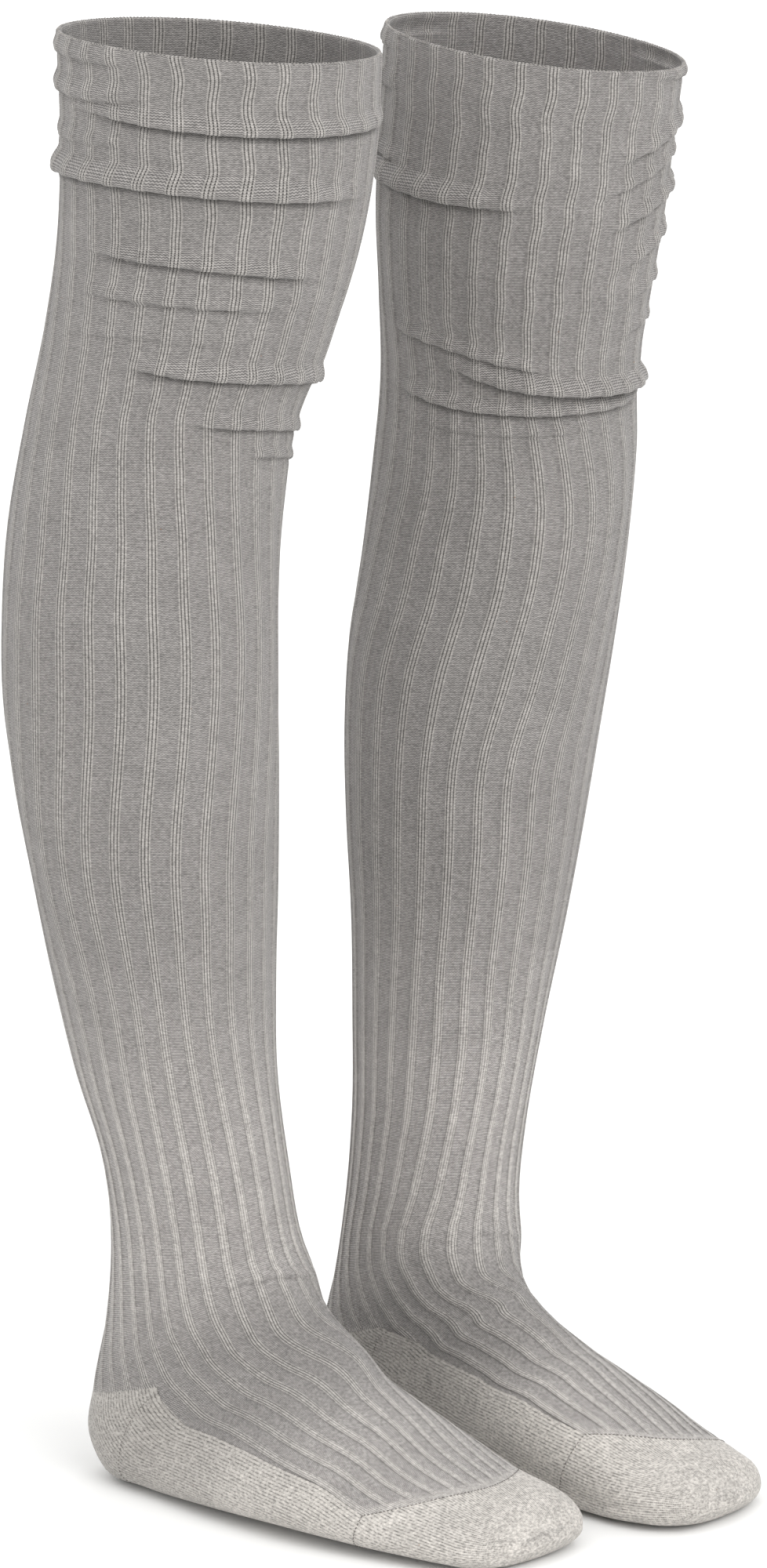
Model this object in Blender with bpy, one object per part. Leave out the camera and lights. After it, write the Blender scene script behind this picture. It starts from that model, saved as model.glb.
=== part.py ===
"""Pair of over-the-knee ribbed socks, open and standing as worn.

Each sock is knitted in one go from the cuff to the toe, so its pieces are the stretches that a
knitter turns out one after another: the turned cuff, the ribbed leg, the plain heel pocket, the
ribbed instep, the plain sole and the plain toe pocket. All of them lie on one tube, whose
sections are given below, and are parted by a hair's gap.

Table lengths are millimetres above the floor, forward of the ankle and towards the other foot.
The scene is in metres, +Z up, toes towards -Y, with its origin in the right sock's leg opening.
"""

import math

import bpy
import numpy as np

MM = 0.001

# Knit and wall
RIBS = 28
RIB_TOP_SHARE = 0.38          # of the pitch from one rib to the next
RIB_HEIGHT = 0.6
WALL = 1.2                    # between two ribs
CUFF_WALL = 1.8               # the cuff is turned over, so it is thicker
PLAIN_DROP = 0.2              # plain knit lies this far below the tops of the ribs
SEAM_GAP = 0.8
TOE_SEAM_GAP = 1.0
CUFF_DEPTH = 33
FOOT_INNER_FLOOR = 1.4        # least height of the sole's inner face
LEAST_FOOT_GIRTH = 200

# Seams of the foot
HEEL_LINE_BELOW = 3           # from the heel_top section to where the ribs stop at the back
HEEL_LINE_DIP = 9             # how much lower they stop at the sides
HEEL_CORNER_DEPTH = 3         # of the heel pocket, at the sides
HEEL_BOW = 42                 # how much lower it ends under the heel
HEEL_BOW_POWER = 1.5          # 1 for a straight lower edge, and 2 for a parabola
TOE_SEAM_BACK = 20            # from the ball section, at the sides of the foot
TOE_BOW_TOP = 33
TOE_BOW_UNDER = 6

# Where each sock stands, as the middle of its ankle from the middle of the pair
STANCE = {
    "right": {"mirror": 1, "across": -60, "back": 45, "toe_in": 6.6},
    "left": {"mirror": -1, "across": 56, "back": 22, "toe_in": 7.0},
}

# A section runs from its front point to its back point, seen from the side. "side" moves it
# towards the other foot, "ridge" its front half only, "skew" tips that edge of it down the tube,
# "widest" is where it is widest and the squareness is 2 for an ellipse.
SECTION_COLUMNS = (
    "front_forward", "front_up", "back_forward", "back_up", "half_width",
    "side", "ridge", "skew", "widest", "front_square", "back_square",
)
CUFF_SECTIONS = {
    "right": (
        ("opening", 97, 621, -34, 630, 65, -35, 0, 2, 0.50, 2.1, 2.1),
        ("thigh", 93, 582, -35, 588, 63, -32, 0, 1, 0.50, 2.1, 2.1),
    ),
    "left": (
        ("opening", 93, 604, -33, 619, 62, -32, 0, -4, 0.50, 2.1, 2.1),
        ("thigh", 89, 570, -36, 581, 60, -31, 0, -2, 0.50, 2.1, 2.1),
    ),
}
SECTIONS = (
    ("above_knee", 85, 539, -40, 541, 58, -31, 0, 0, 0.50, 2.1, 2.1),
    ("knee_top", 76, 504, -46, 504, 53, -35, 0, 0, 0.50, 2.1, 2.1),
    ("knee", 63, 469, -52, 465, 51, -41, 0, 0, 0.50, 2.1, 2.1),
    ("below_knee", 57, 434, -56, 427, 55, -44, 0, 0, 0.52, 2.1, 2.1),
    ("calf_top", 54, 396, -59, 389, 57, -43, 0, 0, 0.54, 2.0, 2.1),
    ("upper_calf", 51, 358, -61, 353, 58, -39, 0, 0, 0.56, 2.0, 2.1),
    ("calf", 48, 317, -60, 315, 56, -34, 0, 0, 0.56, 2.0, 2.1),
    ("lower_calf", 45, 274, -56, 274, 52, -29, 0, 0, 0.56, 2.0, 2.1),
    ("shin", 42, 230, -53, 230, 45, -24, 0, 0, 0.54, 2.0, 2.1),
    ("lower_shin", 39, 187, -49, 187, 39, -17, 0, 0, 0.52, 2.0, 2.1),
    ("above_ankle", 39, 146, -43, 144, 34, -8, 0, 0, 0.50, 2.1, 2.1),
    ("ankle", 41, 116, -44, 104, 32, -3, 1, 0, 0.48, 2.2, 2.1),
    ("ankle_bend", 46, 99, -49, 70, 33, -1, 3, 0, 0.46, 2.2, 2.1),
    ("heel_top", 50, 88, -56, 41, 33, 0, 4, 0, 0.52, 2.2, 2.1),
    ("heel", 56, 81, -59, 18, 33, 0, 5, 0, 0.56, 2.2, 2.2),
    ("heel_low", 64, 76, -48, 2, 32, -1, 6, 0, 0.58, 2.2, 2.4),
    ("heel_front", 73, 70, -24, 0, 33, -3, 7, 0, 0.60, 2.1, 2.8),
    ("arch", 85, 61, 15, 1, 37, -8, 9, 0, 0.64, 2.0, 3.0),
    ("midfoot", 101, 52, 60, 2, 42, -10, 10, 0, 0.68, 2.0, 3.0),
    ("instep", 120, 42, 97, 1, 43, -10, 9, 2, 0.70, 2.1, 3.2),
    ("ball", 139, 32, 127, 0, 42, -9, 7, 4, 0.68, 2.2, 3.4),
    ("toe_start", 153, 26, 151, 0, 40, -9, 5, 5, 0.62, 2.4, 3.2),
    ("toes", 164, 22, 165, 0, 35, -10, 3, 5, 0.58, 2.6, 2.8),
    ("toe_end", 171, 18, 173, 2, 27, -10, 2, 5, 0.54, 2.6, 2.6),
    ("tip", 175, 14, 177, 6, 16, -10, 1, 3, 0.50, 2.4, 2.4),
)
TIP_BULGE = 3                 # the toe's end, ahead of its last section

# How far the knit is turned round the leg, as a share of the girth towards the other foot
TURNS = {
    "right": (
        ("opening", 0.0), ("calf_top", 0.0), ("lower_calf", -0.036), ("ankle", -0.036),
        ("heel_top", -0.016), ("arch", 0.014), ("midfoot", 0.012), ("ball", -0.02), ("tip", -0.02),
    ),
    "left": (
        ("opening", 0.0), ("below_knee", 0.0), ("upper_calf", 0.036), ("above_ankle", 0.036),
        ("heel_top", -0.012), ("heel_low", -0.09), ("arch", -0.105), ("midfoot", -0.118),
        ("ball", -0.135), ("tip", -0.135),
    ),
}

# Slack cloth hangs in rolls over the leg. Each roll's lower edge runs through three places, given
# as (turn round the leg from the front, distance below the opening).
FOLD_COLUMNS = ("start", "middle", "end", "height")
FOLDS = {
    "right": (
        ((-0.27, 31), (-0.10, 31), (0.12, 30), 1.4),
        ((-0.42, 60), (-0.19, 54), (0.02, 60), 2.2),
        ((0.24, 70), (0.38, 66), (0.53, 72), 1.6),
        ((-0.21, 131), (-0.07, 135), (0.10, 143), 2.2),
        ((0.22, 128), (0.34, 132), (0.48, 127), 1.4),
        ((-0.12, 155), (0.00, 161), (0.10, 168), 1.4),
    ),
    "left": (
        ((0.44, 56), (0.28, 60), (0.13, 62), 2.2),
        ((-0.40, 66), (-0.26, 62), (-0.12, 68), 1.6),
        ((0.22, 128), (0.06, 147), (-0.13, 146), 2.2),
        ((0.26, 145), (0.08, 156), (-0.10, 153), 1.4),
        ((-0.50, 130), (-0.36, 134), (-0.22, 128), 1.4),
    ),
}
FOLD_RISE = 22                # the roll swells over this length
FOLD_DROP = 8                 # and falls back over this one

# The finest grid that the pieces are read from
GRID_STEP = 4
GRID_AROUND = 168
ROUND_SAMPLES = 360

# Where each piece has its rows of points, close together where the cloth is slack or bends
CUFF_ROWS = (0, 0.4, 0.75, 1)
LEG_ROWS = (
    0, 12, 24, 36, 48, 60, 72, 84, 96, 108, 120, 132,
    176, 220, 264, 308, 352, 396, 440, 464, 484, 502, 520, 537,
)
TOE_ROWS = (0, 0.3, 0.58, 0.8, 0.93, 1)
HEEL_ROWS = 6
SOLE_ROWS = 8
PLAIN_STEPS = 12              # across a heel pocket or a sole
TOE_STEPS = 28
SIDE = 0.25                   # the foot's sides, as a share of the girth from its middle line

RIB_KNIT = {"name": "heather_rib_knit", "colour": "#a3a29f", "roughness": 0.92}
PLAIN_KNIT = {"name": "heather_plain_knit", "colour": "#b5b2ac", "roughness": 0.94}


def clear_scene():
    for thing in list(bpy.data.objects):
        bpy.data.objects.remove(thing, do_unlink=True)


def linear(hex_colour):
    """An sRGB colour as the linear values that a shader takes."""
    values = [int(hex_colour[i:i + 2], 16) / 255 for i in (1, 3, 5)]
    return [v / 12.92 if v <= 0.04045 else ((v + 0.055) / 1.055) ** 2.4 for v in values] + [1.0]


def knit_material(knit):
    material = bpy.data.materials.new(knit["name"])
    material.use_nodes = True
    surface = material.node_tree.nodes["Principled BSDF"]
    surface.inputs["Base Color"].default_value = linear(knit["colour"])
    surface.inputs["Roughness"].default_value = knit["roughness"]
    surface.inputs["Metallic"].default_value = 0.0
    return material


def smooth_through(places, known, values):
    """A smooth curve through the values at the known places, as a knitter's tape would lie."""
    slopes = np.gradient(values, known, axis=0)
    index = np.clip(np.searchsorted(known, places, side="right") - 1, 0, len(known) - 2)
    span = (known[index + 1] - known[index])[:, None]
    t = (places - known[index])[:, None] / span
    rise = values[index] * (2 * t**3 - 3 * t**2 + 1) + values[index + 1] * (3 * t**2 - 2 * t**3)
    return rise + span * (slopes[index] * (t**3 - 2 * t**2 + t) + slopes[index + 1] * (t**3 - t**2))


def section_outline(section):
    """Points round one section, from its front by the inner side: (side, forward, up)."""
    value = dict(zip(SECTION_COLUMNS, section))
    angle = np.linspace(0, 2 * math.pi, ROUND_SAMPLES, endpoint=False)
    square = np.where(np.cos(angle) > 0, value["front_square"], value["back_square"])
    lengthwise = np.sign(np.cos(angle)) * np.abs(np.cos(angle)) ** (2 / square)
    across = np.sign(np.sin(angle)) * np.abs(np.sin(angle)) ** (2 / square)
    front = np.array([value["front_forward"], value["front_up"]])
    back = np.array([value["back_forward"], value["back_up"]])
    middle = front + (back - front) * value["widest"]
    to_end = np.where(lengthwise[:, None] > 0, front - middle, middle - back)
    profile = middle + to_end * lengthwise[:, None]
    chord = (front - back) / np.linalg.norm(front - back)
    down_tube = np.array([chord[1], -chord[0]])
    profile = profile + down_tube * (value["skew"] * across)[:, None]
    side = value["side"] + value["half_width"] * across + value["ridge"] * np.clip(lengthwise, 0, 1)
    return np.column_stack([side, profile])


def evenly_spaced(outline, count):
    closed = np.vstack([outline, outline[:1]])
    lengths = np.concatenate([[0], np.cumsum(np.linalg.norm(np.diff(closed, axis=0), axis=1))])
    places = np.arange(count) / count * lengths[-1]
    return np.column_stack([np.interp(places, lengths, closed[:, axis]) for axis in range(3)])


def sock_form(foot):
    """The tube of one sock: a grid of points, their outward directions and named distances."""
    rows = CUFF_SECTIONS[foot] + SECTIONS
    names = [row[0] for row in rows]
    table = np.array([row[1:] for row in rows], float)
    front_steps = np.linalg.norm(np.diff(table[:, 0:2], axis=0), axis=1)
    back_steps = np.linalg.norm(np.diff(table[:, 2:4], axis=0), axis=1)
    known = np.concatenate([[0], np.cumsum((front_steps + back_steps) / 2)])
    count = int(round(known[-1] / GRID_STEP)) + 1
    places = np.linspace(0, known[-1], count)
    sections = smooth_through(places, known, table)
    points = np.array([evenly_spaced(section_outline(row), GRID_AROUND) for row in sections])
    around = np.roll(points, -1, axis=1) - np.roll(points, 1, axis=1)
    down = np.gradient(points, axis=0)
    outward = np.cross(around, down)
    outward /= np.linalg.norm(outward, axis=2, keepdims=True)
    turn_names, turns = zip(*TURNS[foot])
    return {
        "foot": foot,
        "length": known[-1],
        "at": dict(zip(names, known)),
        "points": points,
        "outward": outward,
        "turn_places": [known[names.index(name)] for name in turn_names],
        "turns": turns,
    }


def turn_at(form, distance):
    """How far the knit is turned at a distance, easing from one named place to the next."""
    places = np.array(form["turn_places"])
    turns = np.array(form["turns"])
    index = np.clip(np.searchsorted(places, distance, side="right") - 1, 0, len(places) - 2)
    t = np.clip((distance - places[index]) / (places[index + 1] - places[index]), 0, 1)
    return turns[index] + (turns[index + 1] - turns[index]) * t * t * (3 - 2 * t)


def read_grid(form, grid, share, distance):
    rows, columns = grid.shape[:2]
    down = np.clip(distance / form["length"] * (rows - 1), 0, rows - 1 - 1e-9)
    round_it = (share % 1.0) * columns
    i, j = down.astype(int), round_it.astype(int) % columns
    a, b = (down - i)[..., None], (round_it - np.floor(round_it))[..., None]
    k = (j + 1) % columns
    upper = grid[i, j] * (1 - b) + grid[i, k] * b
    lower = grid[i + 1, j] * (1 - b) + grid[i + 1, k] * b
    return upper * (1 - a) + lower * a


def fold_height(form, turn, distance):
    """How far the slack rolls stand out at a place on the leg."""
    total = np.zeros_like(distance)
    for row in FOLDS[form["foot"]]:
        fold = dict(zip(FOLD_COLUMNS, row))
        start, middle, end = fold["start"], fold["middle"], fold["end"]
        wrapped = (turn - middle[0] + 0.5) % 1.0 - 0.5 + middle[0]
        path = np.polyfit([start[0], middle[0], end[0]], [start[1], middle[1], end[1]], 2)
        t = (wrapped - start[0]) / (end[0] - start[0])
        strength = np.where((t > 0) & (t < 1), np.sin(math.pi * np.clip(t, 0, 1)) ** 0.7, 0)
        below = distance - np.polyval(path, wrapped)
        swell = np.clip(1 + below / FOLD_RISE, 0, 1) ** 2
        fall = np.clip(1 - below / FOLD_DROP, 0, 1)
        total += fold["height"] * strength * np.where(below < 0, swell, fall)
    return total


def wall_points(form, turn, distance, outer_offset):
    """Points of a wall face: the tube's own, moved out by the rolls and by an offset."""
    share = turn + turn_at(form, distance)
    points = read_grid(form, form["points"], share, distance)
    outward = read_grid(form, form["outward"], share, distance)
    outward /= np.linalg.norm(outward, axis=-1, keepdims=True)
    return points + outward * (fold_height(form, turn, distance) + outer_offset)[..., None]


def place_in_world(form, points):
    """From one foot's own (side, forward, up) to the pair's metres."""
    stance = STANCE[form["foot"]]
    toe_in = math.radians(stance["toe_in"])
    mirror = stance["mirror"]
    side, forward, up = points[:, 0], points[:, 1], points[:, 2]
    x = stance["across"] + mirror * (side * math.cos(toe_in) + forward * math.sin(toe_in))
    y = stance["back"] + side * math.sin(toe_in) - forward * math.cos(toe_in)
    return np.column_stack([x, y, up])


def rib_turns(first, last):
    """Three points a rib: its two edges and the middle of the groove after it."""
    turns = []
    for rib in range(first, last):
        middle = (rib + 0.5) / RIBS
        turns += [middle - RIB_TOP_SHARE / 2 / RIBS, middle + RIB_TOP_SHARE / 2 / RIBS]
        turns.append((rib + 1) / RIBS)
    return turns


def rib_offset(turn):
    """0 on top of a rib, falling to the groove's depth between two ribs."""
    from_rib = np.abs((turn * RIBS) % 1.0 - 0.5)
    slope = (from_rib - RIB_TOP_SHARE / 2) / (0.5 - RIB_TOP_SHARE / 2)
    return -RIB_HEIGHT * np.clip(slope, 0, 1)


def plain_offset(turn):
    return np.full_like(turn, -PLAIN_DROP)


def join_rows(outer, outer_places, inner, inner_places):
    """Triangles between two rows of points that run side by side."""
    faces = []
    i = j = 0
    while i < len(outer) - 1 or j < len(inner) - 1:
        step_outer = j == len(inner) - 1 or (
            i < len(outer) - 1 and outer_places[i + 1] <= inner_places[j + 1] + 1e-9
        )
        if step_outer:
            faces.append((outer[i], outer[i + 1], inner[j]))
            i += 1
        else:
            faces.append((outer[i], inner[j + 1], inner[j]))
            j += 1
    return faces


def grid_faces(grid, closed, flip):
    faces = []
    rows, columns = grid.shape
    for i in range(rows - 1):
        for j in range(columns if closed else columns - 1):
            k = (j + 1) % columns
            face = (grid[i, j], grid[i, k], grid[i + 1, k], grid[i + 1, j])
            faces.append(face[::-1] if flip else face)
    return faces


def whole_ring(ids, places):
    """A row that goes all the way round, with its first point again at its end."""
    return list(ids) + [ids[0]], list(places) + [places[0] + 1]


def knit_piece(form, shape):
    """One knitted piece: an outer and an inner face between two edges, joined along its rims."""
    drop = np.asarray(shape["rows"], float)[:, None]

    def face_points(turns, depth):
        turns = np.asarray(turns, float)[None, :]
        top, bottom = shape["top"](turns), shape["bottom"](turns)
        distance = top + (bottom - top) * drop
        turns = np.broadcast_to(turns, distance.shape)
        return wall_points(form, turns, distance, shape["surface"](turns) - depth)

    outer = face_points(shape["outer_turns"], 0.0)
    inner = face_points(shape["inner_turns"], shape["wall"])
    outer[..., 2] = np.maximum(outer[..., 2], 0)
    inner[..., 2] = np.maximum(inner[..., 2], FOOT_INNER_FLOOR)
    outer_ids = np.arange(outer.shape[0] * outer.shape[1]).reshape(outer.shape[:2])
    inner_ids = np.arange(inner.shape[0] * inner.shape[1]).reshape(inner.shape[:2])
    inner_ids += outer_ids.size
    points = np.vstack([outer.reshape(-1, 3), inner.reshape(-1, 3)])
    ring = shape["ring"]
    faces = grid_faces(outer_ids, ring, False) + grid_faces(inner_ids, ring, True)

    edge = whole_ring if ring else lambda ids, places: (ids, places)
    top_rim = join_rows(
        *edge(outer_ids[0], shape["outer_turns"]), *edge(inner_ids[0], shape["inner_turns"])
    )
    faces += [face[::-1] for face in top_rim]
    if shape.get("closed_end"):
        points, end_faces = close_toe(points, outer_ids[-1], inner_ids[-1], shape["wall"])
        faces += end_faces
    else:
        faces += join_rows(
            *edge(outer_ids[-1], shape["outer_turns"]), *edge(inner_ids[-1], shape["inner_turns"])
        )
    if not ring:
        rows = shape["rows"]
        faces += join_rows(outer_ids[:, 0], rows, inner_ids[:, 0], rows)
        far_side = join_rows(outer_ids[:, -1], rows, inner_ids[:, -1], rows)
        faces += [face[::-1] for face in far_side]
    return add_object(form, shape, points, faces)


def close_toe(points, outer_end, inner_end, wall):
    """The rounded end of the toe, a fan to one point on each face of the wall."""
    middle = points[outer_end].mean(axis=0)
    outer_tip, inner_tip = len(points), len(points) + 1
    forward = np.array([[0, TIP_BULGE, 0], [0, TIP_BULGE - wall, 0]])
    points = np.vstack([points, middle + forward])
    faces = []
    for j in range(len(outer_end)):
        k = (j + 1) % len(outer_end)
        faces.append((outer_end[j], outer_end[k], outer_tip))
        faces.append((inner_end[k], inner_end[j], inner_tip))
    return points, faces


def add_object(form, shape, points, faces):
    name = f"{form['foot']}_{shape['name']}"
    placed = (place_in_world(form, points) - origin_point()) * MM
    if STANCE[form["foot"]]["mirror"] > 0:
        faces = [face[::-1] for face in faces]
    mesh = bpy.data.meshes.new(name)
    mesh.from_pydata(placed.tolist(), [], [tuple(int(i) for i in face) for face in faces])
    mesh.validate()
    mesh.materials.append(shape["material"])
    mesh.shade_smooth()
    mesh.set_sharp_from_angle(angle=math.radians(40))
    thing = bpy.data.objects.new(name, mesh)
    bpy.context.collection.objects.link(thing)
    return thing


def origin_point():
    """The middle of the right sock's leg opening, where the leg that holds it up goes in."""
    opening = dict(zip(SECTION_COLUMNS, CUFF_SECTIONS["right"][0][1:]))
    forward = (opening["front_forward"] + opening["back_forward"]) / 2
    up = (opening["front_up"] + opening["back_up"]) / 2
    place = np.array([[opening["side"], forward, up]], float)
    return np.round(place_in_world({"foot": "right"}, place)[0])


def level(distance):
    return lambda turn: np.full_like(turn, distance)


def moved(edge, amount):
    return lambda turn: edge(turn) + amount


def foot_seams(at):
    """The edges between the foot's pieces, as distances below the opening round the foot."""

    def heel_line(turn):
        from_back = np.clip(0.5 - np.abs((turn + 0.5) % 1.0 - 0.5), 0, SIDE)
        return at["heel_top"] + HEEL_LINE_BELOW + HEEL_LINE_DIP * (from_back / SIDE) ** 2

    def heel_end(turn):
        """The pocket is deepest under the heel and narrows to a corner on each side."""
        from_top = np.abs((turn + 0.5) % 1.0 - 0.5)
        from_corner = np.clip((from_top - SIDE) / SIDE, 0, 1)
        corner = at["heel_top"] + HEEL_LINE_BELOW + HEEL_LINE_DIP + HEEL_CORNER_DEPTH
        return corner + HEEL_BOW * from_corner ** HEEL_BOW_POWER

    def toe_seam(turn):
        """The seam bows towards the toes on top and lies nearly straight under the foot."""
        from_top = np.abs((turn + 0.5) % 1.0 - 0.5)
        on_top = from_top <= SIDE
        bow = 1 - (np.where(on_top, from_top, from_top - 0.5) / SIDE) ** 2
        return at["ball"] - TOE_SEAM_BACK + np.where(on_top, TOE_BOW_TOP, TOE_BOW_UNDER) * bow

    return heel_line, heel_end, toe_seam


def build_sock(foot, rib_knit, plain_knit):
    form = sock_form(foot)
    heel_line, heel_end, toe_seam = foot_seams(form["at"])
    gap = SEAM_GAP / 2
    toe_gap = TOE_SEAM_GAP / 2
    side_gap = gap / LEAST_FOOT_GIRTH

    grooves = [(rib + 1) / RIBS for rib in range(RIBS)]
    quarter = round(RIBS * SIDE)
    instep_edges = [-SIDE + side_gap], [SIDE - side_gap]
    instep_turns = instep_edges[0] + rib_turns(-quarter, quarter)[:-1] + instep_edges[1]
    instep_grooves = [rib / RIBS for rib in range(1 - quarter, quarter)]
    under_turns = np.linspace(SIDE + side_gap, 1 - SIDE - side_gap, PLAIN_STEPS + 1)
    toe_turns = np.arange(TOE_STEPS) / TOE_STEPS

    # The instep has the sole's rows along the sides, and one more for the heel pocket's corner
    side = np.array([SIDE])
    instep_length = float((toe_seam(side) - heel_line(side))[0])
    corner = HEEL_CORNER_DEPTH / instep_length
    instep_rows = [0] + list(np.linspace(corner, 1, SOLE_ROWS))

    ribbed = {"material": rib_knit, "surface": rib_offset, "wall": WALL}
    plain = {"material": plain_knit, "surface": plain_offset, "wall": WALL}
    all_round = {"outer_turns": rib_turns(0, RIBS), "inner_turns": grooves, "ring": True}
    over_foot = {
        "outer_turns": instep_turns,
        "inner_turns": instep_edges[0] + instep_grooves + instep_edges[1],
        "ring": False,
    }
    under_foot = {"outer_turns": under_turns, "inner_turns": under_turns, "ring": False}
    round_toes = {"outer_turns": toe_turns, "inner_turns": toe_turns, "ring": True}

    knit_piece(form, ribbed | all_round | {
        "name": "cuff",
        "wall": CUFF_WALL,
        "top": level(0),
        "bottom": level(CUFF_DEPTH - gap),
        "rows": CUFF_ROWS,
    })
    knit_piece(form, ribbed | all_round | {
        "name": "leg",
        "top": level(CUFF_DEPTH + gap),
        "bottom": moved(heel_line, -gap),
        "rows": np.array(LEG_ROWS) / LEG_ROWS[-1],
    })
    knit_piece(form, ribbed | over_foot | {
        "name": "instep",
        "top": moved(heel_line, gap),
        "bottom": moved(toe_seam, -toe_gap),
        "rows": instep_rows,
    })
    knit_piece(form, plain | under_foot | {
        "name": "heel",
        "top": moved(heel_line, gap),
        "bottom": moved(heel_end, -gap),
        "rows": np.linspace(0, 1, HEEL_ROWS),
    })
    knit_piece(form, plain | under_foot | {
        "name": "sole",
        "top": moved(heel_end, gap),
        "bottom": moved(toe_seam, -toe_gap),
        "rows": np.linspace(0, 1, SOLE_ROWS),
    })
    knit_piece(form, plain | round_toes | {
        "name": "toe",
        "top": moved(toe_seam, toe_gap),
        "bottom": level(form["length"]),
        "rows": TOE_ROWS,
        "closed_end": True,
    })


def main():
    clear_scene()
    rib_knit = knit_material(RIB_KNIT)
    plain_knit = knit_material(PLAIN_KNIT)
    for foot in STANCE:
        build_sock(foot, rib_knit, plain_knit)


main()
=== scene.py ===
# %% [markdown]
# # Pair of over-the-knee ribbed socks
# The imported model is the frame: it holds the true size and place of every knitted piece, in metres
# with +Z up, and its origin in the right sock's leg opening. This script lays a finer knitted
# surface over each of those pieces, with the ribs, the slack rolls, the seams and the yarn.

# %% Load the frame
import math

import bpy
import numpy as np
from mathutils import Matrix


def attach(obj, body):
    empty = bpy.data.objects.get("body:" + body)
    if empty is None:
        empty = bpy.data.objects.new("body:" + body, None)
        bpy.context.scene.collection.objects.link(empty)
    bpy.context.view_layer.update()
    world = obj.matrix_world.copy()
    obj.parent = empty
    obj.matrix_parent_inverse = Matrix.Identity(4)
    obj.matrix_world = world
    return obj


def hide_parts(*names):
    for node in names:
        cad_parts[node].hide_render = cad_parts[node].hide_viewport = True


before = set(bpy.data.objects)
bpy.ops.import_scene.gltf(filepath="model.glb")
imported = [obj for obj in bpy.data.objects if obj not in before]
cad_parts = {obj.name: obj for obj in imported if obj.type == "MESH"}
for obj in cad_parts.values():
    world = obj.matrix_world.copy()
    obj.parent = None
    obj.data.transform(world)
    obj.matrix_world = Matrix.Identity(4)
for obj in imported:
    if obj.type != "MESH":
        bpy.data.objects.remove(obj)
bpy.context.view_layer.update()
print("frame loaded:", ", ".join(sorted(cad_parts)))

# %% [markdown]
# ## Shared helpers
# Colours are picked as sRGB hex values, as a dyer's card gives them, and shaders want them
# linear. One function adds a shader or geometry node with its settings and its links, so that a
# node tree reads from top to bottom as the surface is worked out.

# %% Helpers for colours and nodes
MM = 0.001


def linear(hex_colour):
    """An sRGB hex colour as linear RGBA."""
    values = [int(hex_colour[i:i + 2], 16) / 255 for i in (1, 3, 5)]
    return [v / 12.92 if v <= 0.04045 else ((v + 0.055) / 1.055) ** 2.4 for v in values] + [1.0]


def add_node(tree, kind, inputs=None, **settings):
    """A new node; an input is a value, or another node's output to link from."""
    node = tree.nodes.new(kind)
    for name, value in settings.items():
        setattr(node, name, value)
    for key, value in (inputs or {}).items():
        value = value.outputs[0] if isinstance(value, bpy.types.Node) else value
        if isinstance(value, bpy.types.NodeSocket):
            tree.links.new(value, node.inputs[key])
        else:
            node.inputs[key].default_value = value
    return node


print("helpers ready")

# %% [markdown]
# ## The camera
# The photograph looks down a little on the pair from the front and the wearer's right. The camera
# comes first, because every later look at the pair depends on it. A long lens from about three
# metres keeps both socks' verticals nearly parallel, as a studio does.

# %% Camera
FLOOR_TO_ORIGIN = 626 * MM
PAIR_TO_ORIGIN = (-91 * MM, 10 * MM)     # from the middle of the stance to the origin
CAMERA_AZIMUTH = math.radians(-49.5)
CAMERA_DISTANCE = 3200 * MM
CAMERA_HEIGHT = 979 * MM
CAMERA_PITCH = math.radians(11.91)
FRAME_HEIGHT_PX = 2000
FOCAL_PX = 9891
SENSOR_MM = 36

camera_data = bpy.data.cameras.new("product_camera")
camera_data.sensor_width = SENSOR_MM
camera_data.lens = FOCAL_PX / FRAME_HEIGHT_PX * SENSOR_MM
camera_data.clip_end = 60
camera = bpy.data.objects.new("product_camera", camera_data)
bpy.context.collection.objects.link(camera)
camera.location = (
    CAMERA_DISTANCE * math.sin(CAMERA_AZIMUTH) - PAIR_TO_ORIGIN[0],
    -CAMERA_DISTANCE * math.cos(CAMERA_AZIMUTH) - PAIR_TO_ORIGIN[1],
    CAMERA_HEIGHT - FLOOR_TO_ORIGIN,
)
camera.rotation_euler = (math.pi / 2 - CAMERA_PITCH, 0, CAMERA_AZIMUTH)
bpy.context.scene.camera = camera
print("camera lens", round(camera_data.lens, 1), "mm")

# %% [markdown]
# ## The form of a sock
# A sock on a leg is one tube, so it is described as a knitter's tape would measure it: a section
# at each named height, given by its front point and back point seen from the side, its width and
# how square it is. A smooth curve through those rows gives the whole tube. The same rows make the
# solids underneath, which is why the finer surface fits them without any fitting.

# %% Sections of the socks
# Millimetres above the floor, forward of the ankle and, for "side", towards the other foot.
STANCE = {
    "right": {"mirror": 1, "across": -60, "back": 45, "toe_in": 6.6},
    "left": {"mirror": -1, "across": 56, "back": 22, "toe_in": 7.0},
}
SECTION_COLUMNS = (
    "front_forward", "front_up", "back_forward", "back_up", "half_width",
    "side", "ridge", "skew", "widest", "front_square", "back_square",
)
CUFF_SECTIONS = {
    "right": (
        ("opening", 97, 621, -34, 630, 65, -35, 0, 2, 0.50, 2.1, 2.1),
        ("thigh", 93, 582, -35, 588, 63, -32, 0, 1, 0.50, 2.1, 2.1),
    ),
    "left": (
        ("opening", 93, 604, -33, 619, 62, -32, 0, -4, 0.50, 2.1, 2.1),
        ("thigh", 89, 570, -36, 581, 60, -31, 0, -2, 0.50, 2.1, 2.1),
    ),
}
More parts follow.
